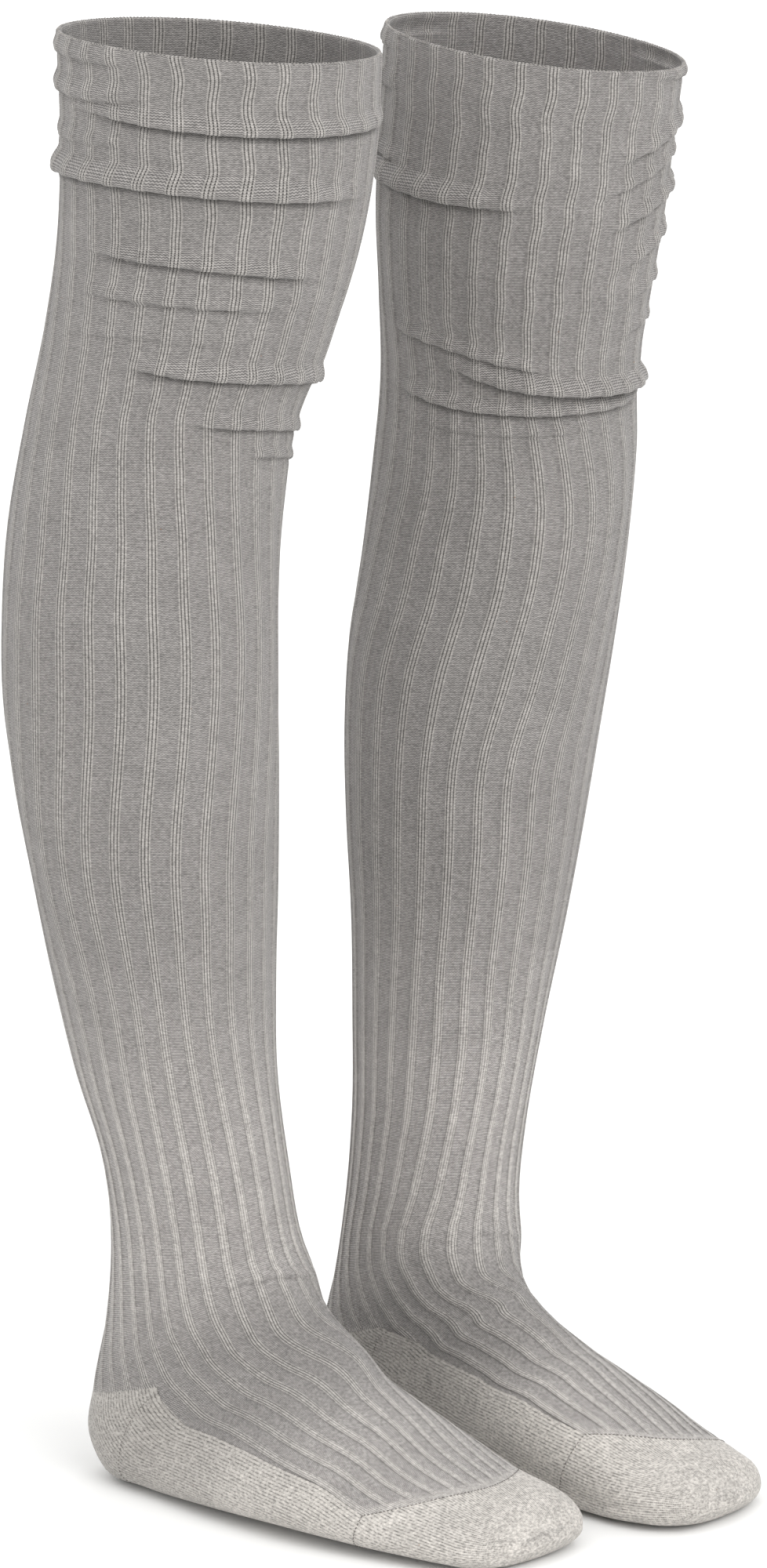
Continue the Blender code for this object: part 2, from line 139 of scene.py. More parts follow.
SECTIONS = (
    ("above_knee", 85, 539, -40, 541, 58, -31, 0, 0, 0.50, 2.1, 2.1),
    ("knee_top", 76, 504, -46, 504, 53, -35, 0, 0, 0.50, 2.1, 2.1),
    ("knee", 63, 469, -52, 465, 51, -41, 0, 0, 0.50, 2.1, 2.1),
    ("below_knee", 57, 434, -56, 427, 55, -44, 0, 0, 0.52, 2.1, 2.1),
    ("calf_top", 54, 396, -59, 389, 57, -43, 0, 0, 0.54, 2.0, 2.1),
    ("upper_calf", 51, 358, -61, 353, 58, -39, 0, 0, 0.56, 2.0, 2.1),
    ("calf", 48, 317, -60, 315, 56, -34, 0, 0, 0.56, 2.0, 2.1),
    ("lower_calf", 45, 274, -56, 274, 52, -29, 0, 0, 0.56, 2.0, 2.1),
    ("shin", 42, 230, -53, 230, 45, -24, 0, 0, 0.54, 2.0, 2.1),
    ("lower_shin", 39, 187, -49, 187, 39, -17, 0, 0, 0.52, 2.0, 2.1),
    ("above_ankle", 39, 146, -43, 144, 34, -8, 0, 0, 0.50, 2.1, 2.1),
    ("ankle", 41, 116, -44, 104, 32, -3, 1, 0, 0.48, 2.2, 2.1),
    ("ankle_bend", 46, 99, -49, 70, 33, -1, 3, 0, 0.46, 2.2, 2.1),
    ("heel_top", 50, 88, -56, 41, 33, 0, 4, 0, 0.52, 2.2, 2.1),
    ("heel", 56, 81, -59, 18, 33, 0, 5, 0, 0.56, 2.2, 2.2),
    ("heel_low", 64, 76, -48, 2, 32, -1, 6, 0, 0.58, 2.2, 2.4),
    ("heel_front", 73, 70, -24, 0, 33, -3, 7, 0, 0.60, 2.1, 2.8),
    ("arch", 85, 61, 15, 1, 37, -8, 9, 0, 0.64, 2.0, 3.0),
    ("midfoot", 101, 52, 60, 2, 42, -10, 10, 0, 0.68, 2.0, 3.0),
    ("instep", 120, 42, 97, 1, 43, -10, 9, 2, 0.70, 2.1, 3.2),
    ("ball", 139, 32, 127, 0, 42, -9, 7, 4, 0.68, 2.2, 3.4),
    ("toe_start", 153, 26, 151, 0, 40, -9, 5, 5, 0.62, 2.4, 3.2),
    ("toes", 164, 22, 165, 0, 35, -10, 3, 5, 0.58, 2.6, 2.8),
    ("toe_end", 171, 18, 173, 2, 27, -10, 2, 5, 0.54, 2.6, 2.6),
    ("tip", 175, 14, 177, 6, 16, -10, 1, 3, 0.50, 2.4, 2.4),
)
TIP_BULGE = 3

# How far the knit is turned round the leg, as a share of the girth towards the other foot
TURNS = {
    "right": (
        ("opening", 0.0), ("calf_top", 0.0), ("lower_calf", -0.036), ("ankle", -0.036),
        ("heel_top", -0.016), ("arch", 0.014), ("midfoot", 0.012), ("ball", -0.02), ("tip", -0.02),
    ),
    "left": (
        ("opening", 0.0), ("below_knee", 0.0), ("upper_calf", 0.036), ("above_ankle", 0.036),
        ("heel_top", -0.012), ("heel_low", -0.09), ("arch", -0.105), ("midfoot", -0.118),
        ("ball", -0.135), ("tip", -0.135),
    ),
}
print(len(SECTIONS) + 2, "sections for each sock")

# %% [markdown]
# ## From rows to a tube
# Each row becomes a rounded outline, and the outlines are spaced evenly round the girth, because
# knitting spreads its stitches evenly round a leg. A place on the sock is then just a turn round
# the leg and a distance below the opening, the two directions in which it is knitted.

# %% The tube
GRID_STEP = 3
GRID_AROUND = 336
ROUND_SAMPLES = 720


def smooth_through(places, known, values):
    """A smooth curve through the values at the known places."""
    slopes = np.gradient(values, known, axis=0)
    index = np.clip(np.searchsorted(known, places, side="right") - 1, 0, len(known) - 2)
    span = (known[index + 1] - known[index])[:, None]
    t = (places - known[index])[:, None] / span
    rise = values[index] * (2 * t**3 - 3 * t**2 + 1) + values[index + 1] * (3 * t**2 - 2 * t**3)
    return rise + span * (slopes[index] * (t**3 - 2 * t**2 + t) + slopes[index + 1] * (t**3 - t**2))


def section_outline(section):
    """Points round one section, from its front by the inner side: (side, forward, up)."""
    value = dict(zip(SECTION_COLUMNS, section))
    angle = np.linspace(0, 2 * math.pi, ROUND_SAMPLES, endpoint=False)
    square = np.where(np.cos(angle) > 0, value["front_square"], value["back_square"])
    lengthwise = np.sign(np.cos(angle)) * np.abs(np.cos(angle)) ** (2 / square)
    across = np.sign(np.sin(angle)) * np.abs(np.sin(angle)) ** (2 / square)
    front = np.array([value["front_forward"], value["front_up"]])
    back = np.array([value["back_forward"], value["back_up"]])
    middle = front + (back - front) * value["widest"]
    to_end = np.where(lengthwise[:, None] > 0, front - middle, middle - back)
    profile = middle + to_end * lengthwise[:, None]
    chord = (front - back) / np.linalg.norm(front - back)
    down_tube = np.array([chord[1], -chord[0]])
    profile = profile + down_tube * (value["skew"] * across)[:, None]
    side = value["side"] + value["half_width"] * across + value["ridge"] * np.clip(lengthwise, 0, 1)
    return np.column_stack([side, profile])


def evenly_spaced(outline, count):
    closed = np.vstack([outline, outline[:1]])
    lengths = np.concatenate([[0], np.cumsum(np.linalg.norm(np.diff(closed, axis=0), axis=1))])
    places = np.arange(count) / count * lengths[-1]
    return np.column_stack([np.interp(places, lengths, closed[:, axis]) for axis in range(3)])


def sock_form(foot):
    """The tube of one sock: a grid of points, their outward directions and named distances."""
    rows = CUFF_SECTIONS[foot] + SECTIONS
    names = [row[0] for row in rows]
    table = np.array([row[1:] for row in rows], float)
    front_steps = np.linalg.norm(np.diff(table[:, 0:2], axis=0), axis=1)
    back_steps = np.linalg.norm(np.diff(table[:, 2:4], axis=0), axis=1)
    known = np.concatenate([[0], np.cumsum((front_steps + back_steps) / 2)])
    places = np.linspace(0, known[-1], int(round(known[-1] / GRID_STEP)) + 1)
    sections = smooth_through(places, known, table)
    points = np.array([evenly_spaced(section_outline(row), GRID_AROUND) for row in sections])
    around = np.roll(points, -1, axis=1) - np.roll(points, 1, axis=1)
    down = np.gradient(points, axis=0)
    outward = np.cross(around, down)
    outward /= np.linalg.norm(outward, axis=2, keepdims=True)
    turn_names, turns = zip(*TURNS[foot])
    return {
        "foot": foot,
        "length": known[-1],
        "at": dict(zip(names, known)),
        "points": points,
        "outward": outward,
        "turn_places": np.array([known[names.index(name)] for name in turn_names]),
        "turns": np.array(turns),
    }


def turn_at(form, distance):
    """How far the knit is turned at a distance, easing from one named place to the next."""
    places, turns = form["turn_places"], form["turns"]
    index = np.clip(np.searchsorted(places, distance, side="right") - 1, 0, len(places) - 2)
    t = np.clip((distance - places[index]) / (places[index + 1] - places[index]), 0, 1)
    return turns[index] + (turns[index + 1] - turns[index]) * t * t * (3 - 2 * t)


def read_grid(form, grid, share, distance):
    rows, columns = grid.shape[:2]
    down = np.clip(distance / form["length"] * (rows - 1), 0, rows - 1 - 1e-9)
    round_it = (share % 1.0) * columns
    i, j = down.astype(int), round_it.astype(int) % columns
    a, b = (down - i)[..., None], (round_it - np.floor(round_it))[..., None]
    k = (j + 1) % columns
    upper = grid[i, j] * (1 - b) + grid[i, k] * b
    lower = grid[i + 1, j] * (1 - b) + grid[i + 1, k] * b
    return upper * (1 - a) + lower * a


forms = {foot: sock_form(foot) for foot in STANCE}
print({foot: round(form["length"]) for foot, form in forms.items()}, "mm from opening to toe")

# %% [markdown]
# ## Slack rolls and creases
# The cuffs are looser than the thighs they sit on, so the cloth slides down and hangs in rolls
# that overlap what is below them, with finer creases in between. Each is one row of a table,
# placed one by one: three places that its shadow line runs through, how high it stands, how far above
# that line it swells, how sharply it drops, how far it hangs over, and how far it pushes the ribs
# aside. A cloth simulation would put them somewhere else each time it is tuned.

# %% Rolls and creases
ROLL_COLUMNS = ("start", "middle", "end", "height", "rise", "crack", "overhang", "lean")
ROLLS = {
    "right": (
        ((-0.36, 26), (-0.10, 30), (0.16, 29), 2.4, 8, 1.0, 2.0, 0.7),
        ((-0.52, 57), (-0.21, 54), (0.06, 62), 3.8, 9, 1.4, 2.6, -0.9),
        ((-0.32, 84), (-0.15, 87), (0.00, 95), 1.8, 7, 0.9, 1.7, 0.4),
        ((-0.33, 101), (-0.18, 103), (-0.03, 107), 1.2, 7, 0.6, 0.8, -0.6),
        ((-0.34, 119), (-0.21, 118), (-0.08, 122), 0.7, 6, 0.3, 0.2, 0.3),
        ((-0.25, 130), (-0.06, 136), (0.15, 145), 3.2, 8, 1.3, 2.1, 0.8),
        ((-0.15, 154), (0.00, 161), (0.15, 169), 2.0, 7, 0.7, 1.2, -0.5),
        ((-0.06, 171), (0.05, 176), (0.16, 183), 1.3, 6, 0.5, 0.6, 0.3),
        ((-0.46, 8), (-0.35, 8), (-0.23, 7), 1.4, 7, 0.3, 0.3, 0.0),
        ((-0.46, 22), (-0.34, 23), (-0.22, 20), 2.2, 9, 0.5, 0.6, 0.4),
        ((-0.46, 40), (-0.34, 41), (-0.24, 38), 0.9, 7, 0.2, 0.2, -0.3),
        ((0.20, 34), (0.36, 30), (0.54, 35), 1.8, 8, 0.7, 1.2, 0.5),
        ((0.18, 66), (0.35, 62), (0.54, 58), 3.0, 8, 1.2, 1.9, -0.7),
        ((0.20, 96), (0.31, 99), (0.42, 95), 1.2, 7, 0.5, 0.7, 0.4),
        ((0.18, 128), (0.33, 133), (0.52, 127), 2.8, 8, 1.1, 1.7, 0.7),
        ((0.22, 152), (0.34, 156), (0.46, 151), 1.4, 7, 0.5, 0.6, -0.4),
        ((-0.14, 541), (-0.03, 539), (0.08, 553), 1.2, 8, 0.4, 0.5, 0.3),
    ),
    "left": (
        ((0.62, 46), (0.34, 57), (0.09, 65), 4.2, 10, 1.4, 2.8, 0.9),
        ((0.58, 41), (0.40, 47), (0.24, 52), 1.7, 7, 0.5, 0.7, -0.5),
        ((0.54, 9), (0.42, 8), (0.30, 8), 1.4, 7, 0.3, 0.3, 0.0),
        ((0.56, 24), (0.42, 24), (0.28, 22), 2.2, 9, 0.5, 0.6, 0.4),
        ((0.33, 122), (0.20, 130), (0.06, 143), 1.8, 7, 0.7, 0.9, 0.6),
        ((0.24, 134), (0.03, 151), (-0.23, 142), 3.8, 9, 1.4, 2.5, -0.8),
        ((0.33, 146), (0.12, 159), (-0.14, 155), 2.2, 7, 0.9, 1.5, 0.5),
        ((0.29, 160), (0.13, 169), (-0.04, 167), 0.7, 6, 0.3, 0.3, -0.3),
        ((-0.27, 7), (-0.14, 6), (-0.01, 4), 1.7, 8, 0.4, 0.4, 0.0),
        ((-0.26, 23), (-0.12, 28), (0.03, 46), 2.8, 10, 0.9, 1.0, 0.6),
        ((-0.24, 36), (-0.08, 45), (0.06, 64), 1.4, 7, 0.5, 0.5, -0.4),
        ((-0.25, 56), (-0.10, 61), (0.04, 80), 2.8, 9, 0.9, 1.0, 0.5),
        ((-0.23, 76), (-0.10, 82), (0.02, 97), 2.0, 8, 0.6, 0.7, -0.4),
        ((-0.22, 97), (-0.11, 101), (0.00, 111), 1.5, 7, 0.5, 0.5, 0.3),
        ((-0.22, 116), (-0.11, 120), (0.00, 127), 1.1, 7, 0.4, 0.4, -0.3),
        ((-0.54, 35), (-0.38, 30), (-0.24, 36), 1.8, 8, 0.7, 1.2, 0.4),
        ((-0.50, 64), (-0.36, 60), (-0.22, 67), 2.8, 8, 1.1, 1.8, -0.6),
        ((-0.46, 95), (-0.33, 99), (-0.20, 94), 1.2, 7, 0.5, 0.7, 0.4),
        ((-0.54, 130), (-0.36, 134), (-0.20, 128), 2.6, 8, 1.0, 1.6, 0.6),
        ((0.12, 527), (0.02, 526), (-0.08, 539), 0.9, 8, 0.3, 0.4, 0.3),
    ),
}
# Slacker stretches of cloth, which stand out softly above the biggest rolls
SWELL_COLUMNS = ("start", "middle", "end", "height", "rise", "fall")
SWELLS = {
    "right": (
        ((-0.50, 56), (-0.21, 54), (0.05, 60), 1.1, 24, 6),
        ((-0.25, 130), (-0.06, 135), (0.15, 143), 0.9, 22, 6),
        ((0.18, 64), (0.35, 60), (0.54, 57), 0.9, 22, 6),
    ),
    "left": (
        ((0.60, 48), (0.34, 57), (0.09, 63), 1.1, 24, 6),
        ((0.24, 132), (0.03, 149), (-0.21, 141), 0.9, 22, 6),
        ((-0.50, 62), (-0.36, 58), (-0.22, 65), 0.9, 22, 6),
    ),
}
ROLL_ENDS = 0.27       # of its length, over which a roll dies away at each end
ROLL_NOSE = 0.36       # of its rise, the round lower part that hangs over
CRACK_MM = 1.6         # how wide the hollow under a roll is
# The cloth under a roll is coloured darker as painted shade, as far down as these reach.
CREASE_MM = 2.4        # how far the shade under a roll reaches
SHADED_OVERHANG = 2.2  # mm of overhang from which the shade is at its deepest
SWAY = 1.1             # mm, how far the ribs wander sideways in the slack cloth
SWAY_ENDS = 230        # mm below the opening
SWAY_WAVES = ((19, 1, 0.0), (33, 2, 1.7), (58, 3, 4.1))
GIRTH_MM = 390         # of the slack cloth


def eased(share):
    share = np.clip(share, 0, 1)
    return share * share * (3 - 2 * share)


def along_line(fold, turn, distance):
    """How far below a fold's line a place is, and how strong the fold is there."""
    start, middle, end = fold["start"], fold["middle"], fold["end"]
    wrapped = (turn - middle[0] + 0.5) % 1.0 - 0.5 + middle[0]
    path = np.polyfit([start[0], middle[0], end[0]], [start[1], middle[1], end[1]], 2)
    t = (wrapped - start[0]) / (end[0] - start[0])
    return distance - np.polyval(path, wrapped), eased(np.minimum(t, 1 - t) / ROLL_ENDS)


def fold_shift(form, turn, distance):
    """How far the cloth stands out, hangs down and is pushed aside, and how much painted shade it
    gets under a roll.
    """
    painted_roll_shade = np.zeros_like(distance)
    out = np.zeros_like(distance)
    down = np.zeros_like(distance)
    aside = np.zeros_like(distance)
    for row in ROLLS[form["foot"]]:
        roll = dict(zip(ROLL_COLUMNS, row))
        below, strength = along_line(roll, turn, distance)
        nose = roll["rise"] * ROLL_NOSE
        flank = eased((below + roll["rise"]) / (roll["rise"] - nose))
        round_nose = np.sqrt(np.clip(1 - np.clip((below + nose) / nose, 0, 1) ** 2, 0, 1))
        bulge = flank * round_nose
        hollow = np.where(below > 0, np.exp(-(below / CRACK_MM) ** 2), 0)
        out += strength * (roll["height"] * bulge - roll["crack"] * hollow)
        down += strength * roll["overhang"] * bulge * eased((below + roll["rise"]) / roll["rise"])
        aside += strength * roll["lean"] * bulge
        # Painted shade under a roll's nose, deepest for rolls that hang far over.
        under = eased(below + 1) * (1 - eased((below - roll["overhang"]) / CREASE_MM))
        painted_roll_shade = np.maximum(painted_roll_shade, strength * under * min(1, roll["overhang"] / SHADED_OVERHANG))
    for row in SWELLS[form["foot"]]:
        swell = dict(zip(SWELL_COLUMNS, row))
        below, strength = along_line(swell, turn, distance)
        slope = np.where(below < 0, 1 + below / swell["rise"], 1 - below / swell["fall"])
        out += strength * swell["height"] * eased(slope)
    return out, down, aside, painted_roll_shade


def sway(turn, distance):
    """Ribs in slack cloth wander a little from side to side."""
    total = sum(
        np.sin(2 * math.pi * (distance / length + around * turn) + start)
        for length, around, start in SWAY_WAVES
    )
    return SWAY / len(SWAY_WAVES) * total * np.clip(1 - distance / SWAY_ENDS, 0, 1)


def face_points(form, turn, distance, offset):
    """Points of a face of the knit, offset from the tube, and which way is outwards there."""
    out, down, aside, painted_roll_shade = fold_shift(form, turn, distance)
    share = turn + turn_at(form, distance) + (aside + sway(turn, distance)) / GIRTH_MM
    reached = distance + down
    points = read_grid(form, form["points"], share, reached)
    outward = read_grid(form, form["outward"], share, reached)
    outward /= np.linalg.norm(outward, axis=-1, keepdims=True)
    return points + outward * (out + offset)[..., None], outward, painted_roll_shade


def place_in_world(form, points, is_direction=False):
    """From one foot's own (side, forward, up) in mm to the pair's frame in metres."""
    stance = STANCE[form["foot"]]
    toe_in = math.radians(stance["toe_in"])
    mirror = stance["mirror"]
    side, forward, up = points[..., 0], points[..., 1], points[..., 2]
    x = mirror * (side * math.cos(toe_in) + forward * math.sin(toe_in))
    y = side * math.sin(toe_in) - forward * math.cos(toe_in)
    turned = np.stack([x, y, up], axis=-1)
    if is_direction:
        return turned
    moved = turned + np.array([stance["across"], stance["back"], 0])
    shift = np.array([PAIR_TO_ORIGIN[0], PAIR_TO_ORIGIN[1], FLOOR_TO_ORIGIN])
    return moved * MM - shift


print(sum(len(rows) for rows in ROLLS.values()), "rolls and creases")

# %% [markdown]
# ## Where the pieces meet
# A sock is knitted without a break, but its fabric changes at clear lines: the heel line, where
# the ribs stop at the back, the lower edge of the heel pocket, and the toe seam, where the tube
# is closed by linking. They are the same formulas as in the solids.

# %% Edges between the pieces
RIBS = 28
WALES_PER_RIB = 9             # three stand up as the rib and six lie back as the panel
PLAIN_WALES = 150             # round the foot, where the knit is plain
COURSE_MM = 0.72              # one row of knitting
SIDE = 0.25                   # the foot's sides, as a share of the girth from its middle line
CUFF_DEPTH = 33
HEEL_LINE_BELOW = 3
HEEL_LINE_DIP = 9
HEEL_CORNER_DEPTH = 3
HEEL_BOW = 42
TOE_SEAM_BACK = 20
TOE_BOW_TOP = 33
TOE_BOW_UNDER = 6
PLAIN_BAND = 4                # mm of plain knit between the ends of the ribs and the toe seam


def level(distance):
    return lambda turn: np.full_like(turn, distance)


def from_middle_line(turn):
    return np.abs((turn + 0.5) % 1.0 - 0.5)


def heel_line(form):
    start = form["at"]["heel_top"] + HEEL_LINE_BELOW

    def edge(turn):
        from_back = np.clip(0.5 - from_middle_line(turn), 0, SIDE)
        return start + HEEL_LINE_DIP * (from_back / SIDE) ** 2
    return edge


def heel_end(form):
    corner = form["at"]["heel_top"] + HEEL_LINE_BELOW + HEEL_LINE_DIP + HEEL_CORNER_DEPTH

    def edge(turn):
        towards_back = np.clip((from_middle_line(turn) - SIDE) / SIDE, 0, 1)
        return corner + HEEL_BOW * towards_back ** 1.5
    return edge


def toe_seam(form):
    corner = form["at"]["ball"] - TOE_SEAM_BACK

    def edge(turn):
        from_top = from_middle_line(turn)
        on_top = from_top <= SIDE
        bow = 1 - (np.where(on_top, from_top, from_top - 0.5) / SIDE) ** 2
        return corner + np.where(on_top, TOE_BOW_TOP, TOE_BOW_UNDER) * bow
    return edge


print("toe seam on top at", round(float(toe_seam(forms["right"])(np.array([0.0]))[0])), "mm")

# %% [markdown]
# ## Where the ribs run
# Ribs don't keep to one side of the leg. The knit is pulled askew when the sock is put on, so the
# ribs creep round the knee and the ankle. Each row gives a distance below the opening, and how many
# ribs the knit has crept there at the front and at the side. Down to about 470 mm the rows are
# rounded readings of the picture. Further down they depart from the readings, mostly by a whole
# rib, and the left sock's side swings more at the ankle than the picture shows.

# %% Drift of the ribs
DRIFT_COLUMNS = ("distance", "at_the_front", "at_the_side")
RIB_DRIFT = {
    "right": (
        (0, 0.0, 0.0), (100, -0.15, -0.2), (150, -0.4, -0.65), (175, -0.95, -1.05),
        (200, -1.38, -1.45), (240, -1.8, -1.55), (280, -2.05, -1.85), (360, -2.1, -1.8),
        (410, -1.95, -1.95), (450, -2.2, -1.65), (480, -2.25, -1.33), (520, -2.2, -1.25),
        (556, -1.93, -1.27), (572, -1.93, -1.9), (586, -2.0, -2.35), (606, -2.1, -2.25),
        (650, -1.78, -1.9), (685, -1.6, -1.7), (703, -1.7, -1.7), (725, -2.05, -1.95),
        (780, -2.1, -2.1),
    ),
    "left": (
        (0, -0.4, -0.2), (60, -0.5, -0.25), (110, -0.68, -0.42), (150, -0.5, 0.07),
        (180, 0.05, 0.33), (210, 0.8, 0.4), (245, 1.3, 0.75), (275, 1.05, 0.42),
        (310, 0.5, 0.37), (350, 0.6, 0.28), (400, 0.6, 0.06), (440, 0.85, -0.1),
        (475, 0.65, -0.3), (500, 0.15, -1.0), (520, -0.42, -1.8), (533, -0.65, -1.8),
        (546, -0.75, -1.2), (558, -0.75, -0.63), (568, -1.15, -1.05), (580, -1.85, -1.72),
        (602, -2.05, -1.8), (630, -2.35, -2.0), (660, -2.3, -2.12), (690, -2.4, -2.3),
        (780, -2.4, -2.4),
    ),
}


def drift_curves(form):
    """The table as smooth curves, one value for each millimetre down the sock."""
    table = np.array(RIB_DRIFT[form["foot"]])
    each_mm = np.arange(0, form["length"] + 1.0)
    front, side = smooth_through(each_mm, table[:, 0], table[:, 1:]).T
    return dict(zip(DRIFT_COLUMNS, (each_mm, front, side)))


for form in forms.values():
    form["drift"] = drift_curves(form)


def rib_drift(form, turn, distance):
    """How many ribs the knit has crept round the leg at a place."""
    curves = form["drift"]
    front = np.interp(distance, curves["distance"], curves["at_the_front"])
    side = np.interp(distance, curves["distance"], curves["at_the_side"])
    return front + (side - front) * eased(from_middle_line(turn) / SIDE)


most = max(abs(form["drift"][name]).max() for form in forms.values() for name in DRIFT_COLUMNS[1:])
print("ribs creep by up to", most.round(1))

# %% [markdown]
# ## A knitted piece
# Each piece is a real wall, with an outer face, an inner face and closed rims, so that it looks
# right from inside too. The outer face is fine enough for the ribs and the rolls, and the inner
# one, which is plain, is coarser round. Every corner stores its wale and its course as texture
# coordinates, which is how the stitch pattern later follows the cloth round every bend.

# %% The two faces of a wall
RIB_HEIGHT = 0.75
PLAIN_LEVEL = 0.3             # plain knit lies this far below the tops of the ribs
WALL = 1.8                    # from the tops of the ribs to the inner face
CUFF_WALL = 2.4
PLAIN_WALL = 1.2
CUFF_RIM = 1.1                # radius of the turned edge at the top
INNER_FLOOR = 1.4             # least height of the sole's inner face
STRETCHED_GIRTH = 320
RELAXED_GIRTH = 235
COLUMN_FITS = 6               # rounds in which the columns of points settle along the ribs
OUTER_COLUMNS = RIBS * 12
INNER_COLUMNS = RIBS * 3
TIP_COURSES = 8.0             # knitted over the rounded end of the toe
STEEPEST_CURL = 0.97          # of a quarter turn at the rim, short of where it would close up


def relaxed_at(form, distance):
    """0 where the leg stretches the knit open, and 1 where it closes up again at the ankle."""
    around = np.diff(form["points"], axis=1, append=form["points"][:, :1])
    girth = np.linalg.norm(around, axis=2).sum(axis=1)
    places = np.linspace(0, form["length"], len(girth))
    slack = STRETCHED_GIRTH - np.interp(distance, places, girth)
    share = np.clip(slack / (STRETCHED_GIRTH - RELAXED_GIRTH), 0, 1)
    below_knee = distance > form["at"]["calf"]
    return np.where(below_knee, eased(share), 0)


def lay_rows(shape, turn, steps):
    top, bottom = shape["top"](turn), shape["bottom"](turn)
    return top + (bottom - top) * steps


def lay_face(form, shape, is_outer):
    """One face of the wall: its points and what each of them knows about the knitting."""
    rows = shape["rows"] if is_outer else shape.get("inner_rows", shape["rows"])
    columns = np.asarray(shape["outer_turns" if is_outer else "inner_turns"], float)[None, :]
    steps = np.asarray(rows, float)[:, None]
    turn = columns + 0 * steps
    distance = lay_rows(shape, turn, steps)
    if shape["ring"] and shape["sunk"] == 0:
        for _ in range(COLUMN_FITS):
            turn = columns - rib_drift(form, turn, distance) / RIBS
            distance = lay_rows(shape, turn, steps)
    depth = np.full(distance.shape, shape["sunk"] + (0.0 if is_outer else shape["wall"]))
    if shape.get("rim"):
        from_top = distance - shape["top"](turn)
        near_rim = np.clip(1 - from_top / shape["rim"], 0, STEEPEST_CURL)
        curl = shape["rim"] * (1 - np.sqrt(1 - near_rim ** 2))
        depth += curl if is_outer else -curl
    place, outward, painted_roll_shade = face_points(form, turn, distance, -depth)
    place[..., 2] = np.maximum(place[..., 2], 0 if is_outer else INNER_FLOOR)
    if shape["sunk"] == 0:
        wale = (turn * RIBS + rib_drift(form, turn, distance)) * WALES_PER_RIB
    else:
        wale = turn * PLAIN_WALES
    return {
        "shape": distance.shape,
        "points": place.reshape(-1, 3),
        "outward": outward.reshape(-1, 3),
        "knit": np.stack([wale, distance / COURSE_MM], axis=-1).reshape(-1, 2),
        "ribbed": shape["ribbed"](turn, distance).ravel(),
        "relief": np.full(distance.size, 1.0 if is_outer else 0.0),
        "relaxed": relaxed_at(form, distance).ravel(),
        "painted_roll_shade": painted_roll_shade.ravel() if is_outer else np.zeros(distance.size),
    }


def tip_of(face, ahead):
    """One more point, ahead of a face's last ring, for the rounded end of the toe."""
    columns = face["shape"][1]
    ring = slice(-columns, None)
    return {
        "points": face["points"][ring].mean(axis=0)[None] + np.array([[0, ahead, 0]]),
        "outward": np.array([[0.0, 1.0, 0.0]]),
        "knit": face["knit"][ring].mean(axis=0)[None] + np.array([[0, TIP_COURSES]]),
        "ribbed": np.zeros(1),
        "relief": np.zeros(1),
        "relaxed": np.ones(1),
        "painted_roll_shade": np.zeros(1),
    }


print(OUTER_COLUMNS, "columns of points round the outer face")

# %% [markdown]
# ## Sewing the faces together
# The faces are grids of four-sided faces, and the rims are strips of triangles that zip two rows
# with different numbers of points. On a tube the last column is the first one again, so those
# points are shared, while their texture coordinates are kept apart.

# %% Close a wall into a mesh
def grid_corners(first, rows, columns):
    """Corners of a grid's faces, row by row."""
    i, j = np.meshgrid(np.arange(rows - 1), np.arange(columns - 1), indexing="ij")
    a = first + i * columns + j
    return np.stack([a, a + 1, a + columns + 1, a + columns], axis=-1).reshape(-1, 4)


def strip(upper, upper_places, lower, lower_places):
    """Triangles between two rows of points that run side by side."""
    faces = []
    i = j = 0
    while i < len(upper) - 1 or j < len(lower) - 1:
        step_upper = j == len(lower) - 1 or (
            i < len(upper) - 1 and upper_places[i + 1] <= lower_places[j + 1] + 1e-9
        )
        if step_upper:
            faces.append((upper[i], upper[i + 1], lower[j]))
            i += 1
        else:
            faces.append((upper[i], lower[j + 1], lower[j]))
            j += 1
    return np.array(faces)


def fan(ring, tip):
    return np.array([(ring[j], ring[j + 1], tip) for j in range(len(ring) - 1)])


def knit_wall(form, name, shape):
    """A closed wall between two edges, as an object with wale and course coordinates."""
    outer = lay_face(form, shape, True)
    inner = lay_face(form, shape, False)
    blocks = [outer, inner]
    outer_ids = np.arange(len(outer["points"])).reshape(outer["shape"])
    inner_ids = np.arange(len(inner["points"])).reshape(inner["shape"]) + outer_ids.size
    steps, round_outer, round_inner = shape["rows"], shape["outer_turns"], shape["inner_turns"]
    triangles = [strip(outer_ids[0], round_outer, inner_ids[0], round_inner)[:, ::-1]]
    if shape.get("closed_end"):
        count = outer_ids.size + inner_ids.size
        blocks += [tip_of(outer, TIP_BULGE), tip_of(inner, TIP_BULGE - shape["wall"])]
        triangles += [fan(outer_ids[-1], count), fan(inner_ids[-1], count + 1)[:, ::-1]]
    else:
        triangles.append(strip(outer_ids[-1], round_outer, inner_ids[-1], round_inner))
    if not shape["ring"]:
        triangles.append(strip(outer_ids[:, 0], steps, inner_ids[:, 0], steps))
        triangles.append(strip(outer_ids[:, -1], steps, inner_ids[:, -1], steps)[:, ::-1])
    quads = np.vstack([
        grid_corners(0, *outer["shape"]),
        grid_corners(outer_ids.size, *inner["shape"])[:, ::-1],
    ])
    known = {key: np.concatenate([block[key] for block in blocks]) for key in
             ("points", "outward", "knit", "ribbed", "relief", "relaxed", "painted_roll_shade")}
    same = np.arange(len(known["points"]))
    if shape["ring"]:
        same[outer_ids[:, -1]] = outer_ids[:, 0]
        same[inner_ids[:, -1]] = inner_ids[:, 0]
    return mesh_object(form, name, known, quads, np.vstack(triangles), same)


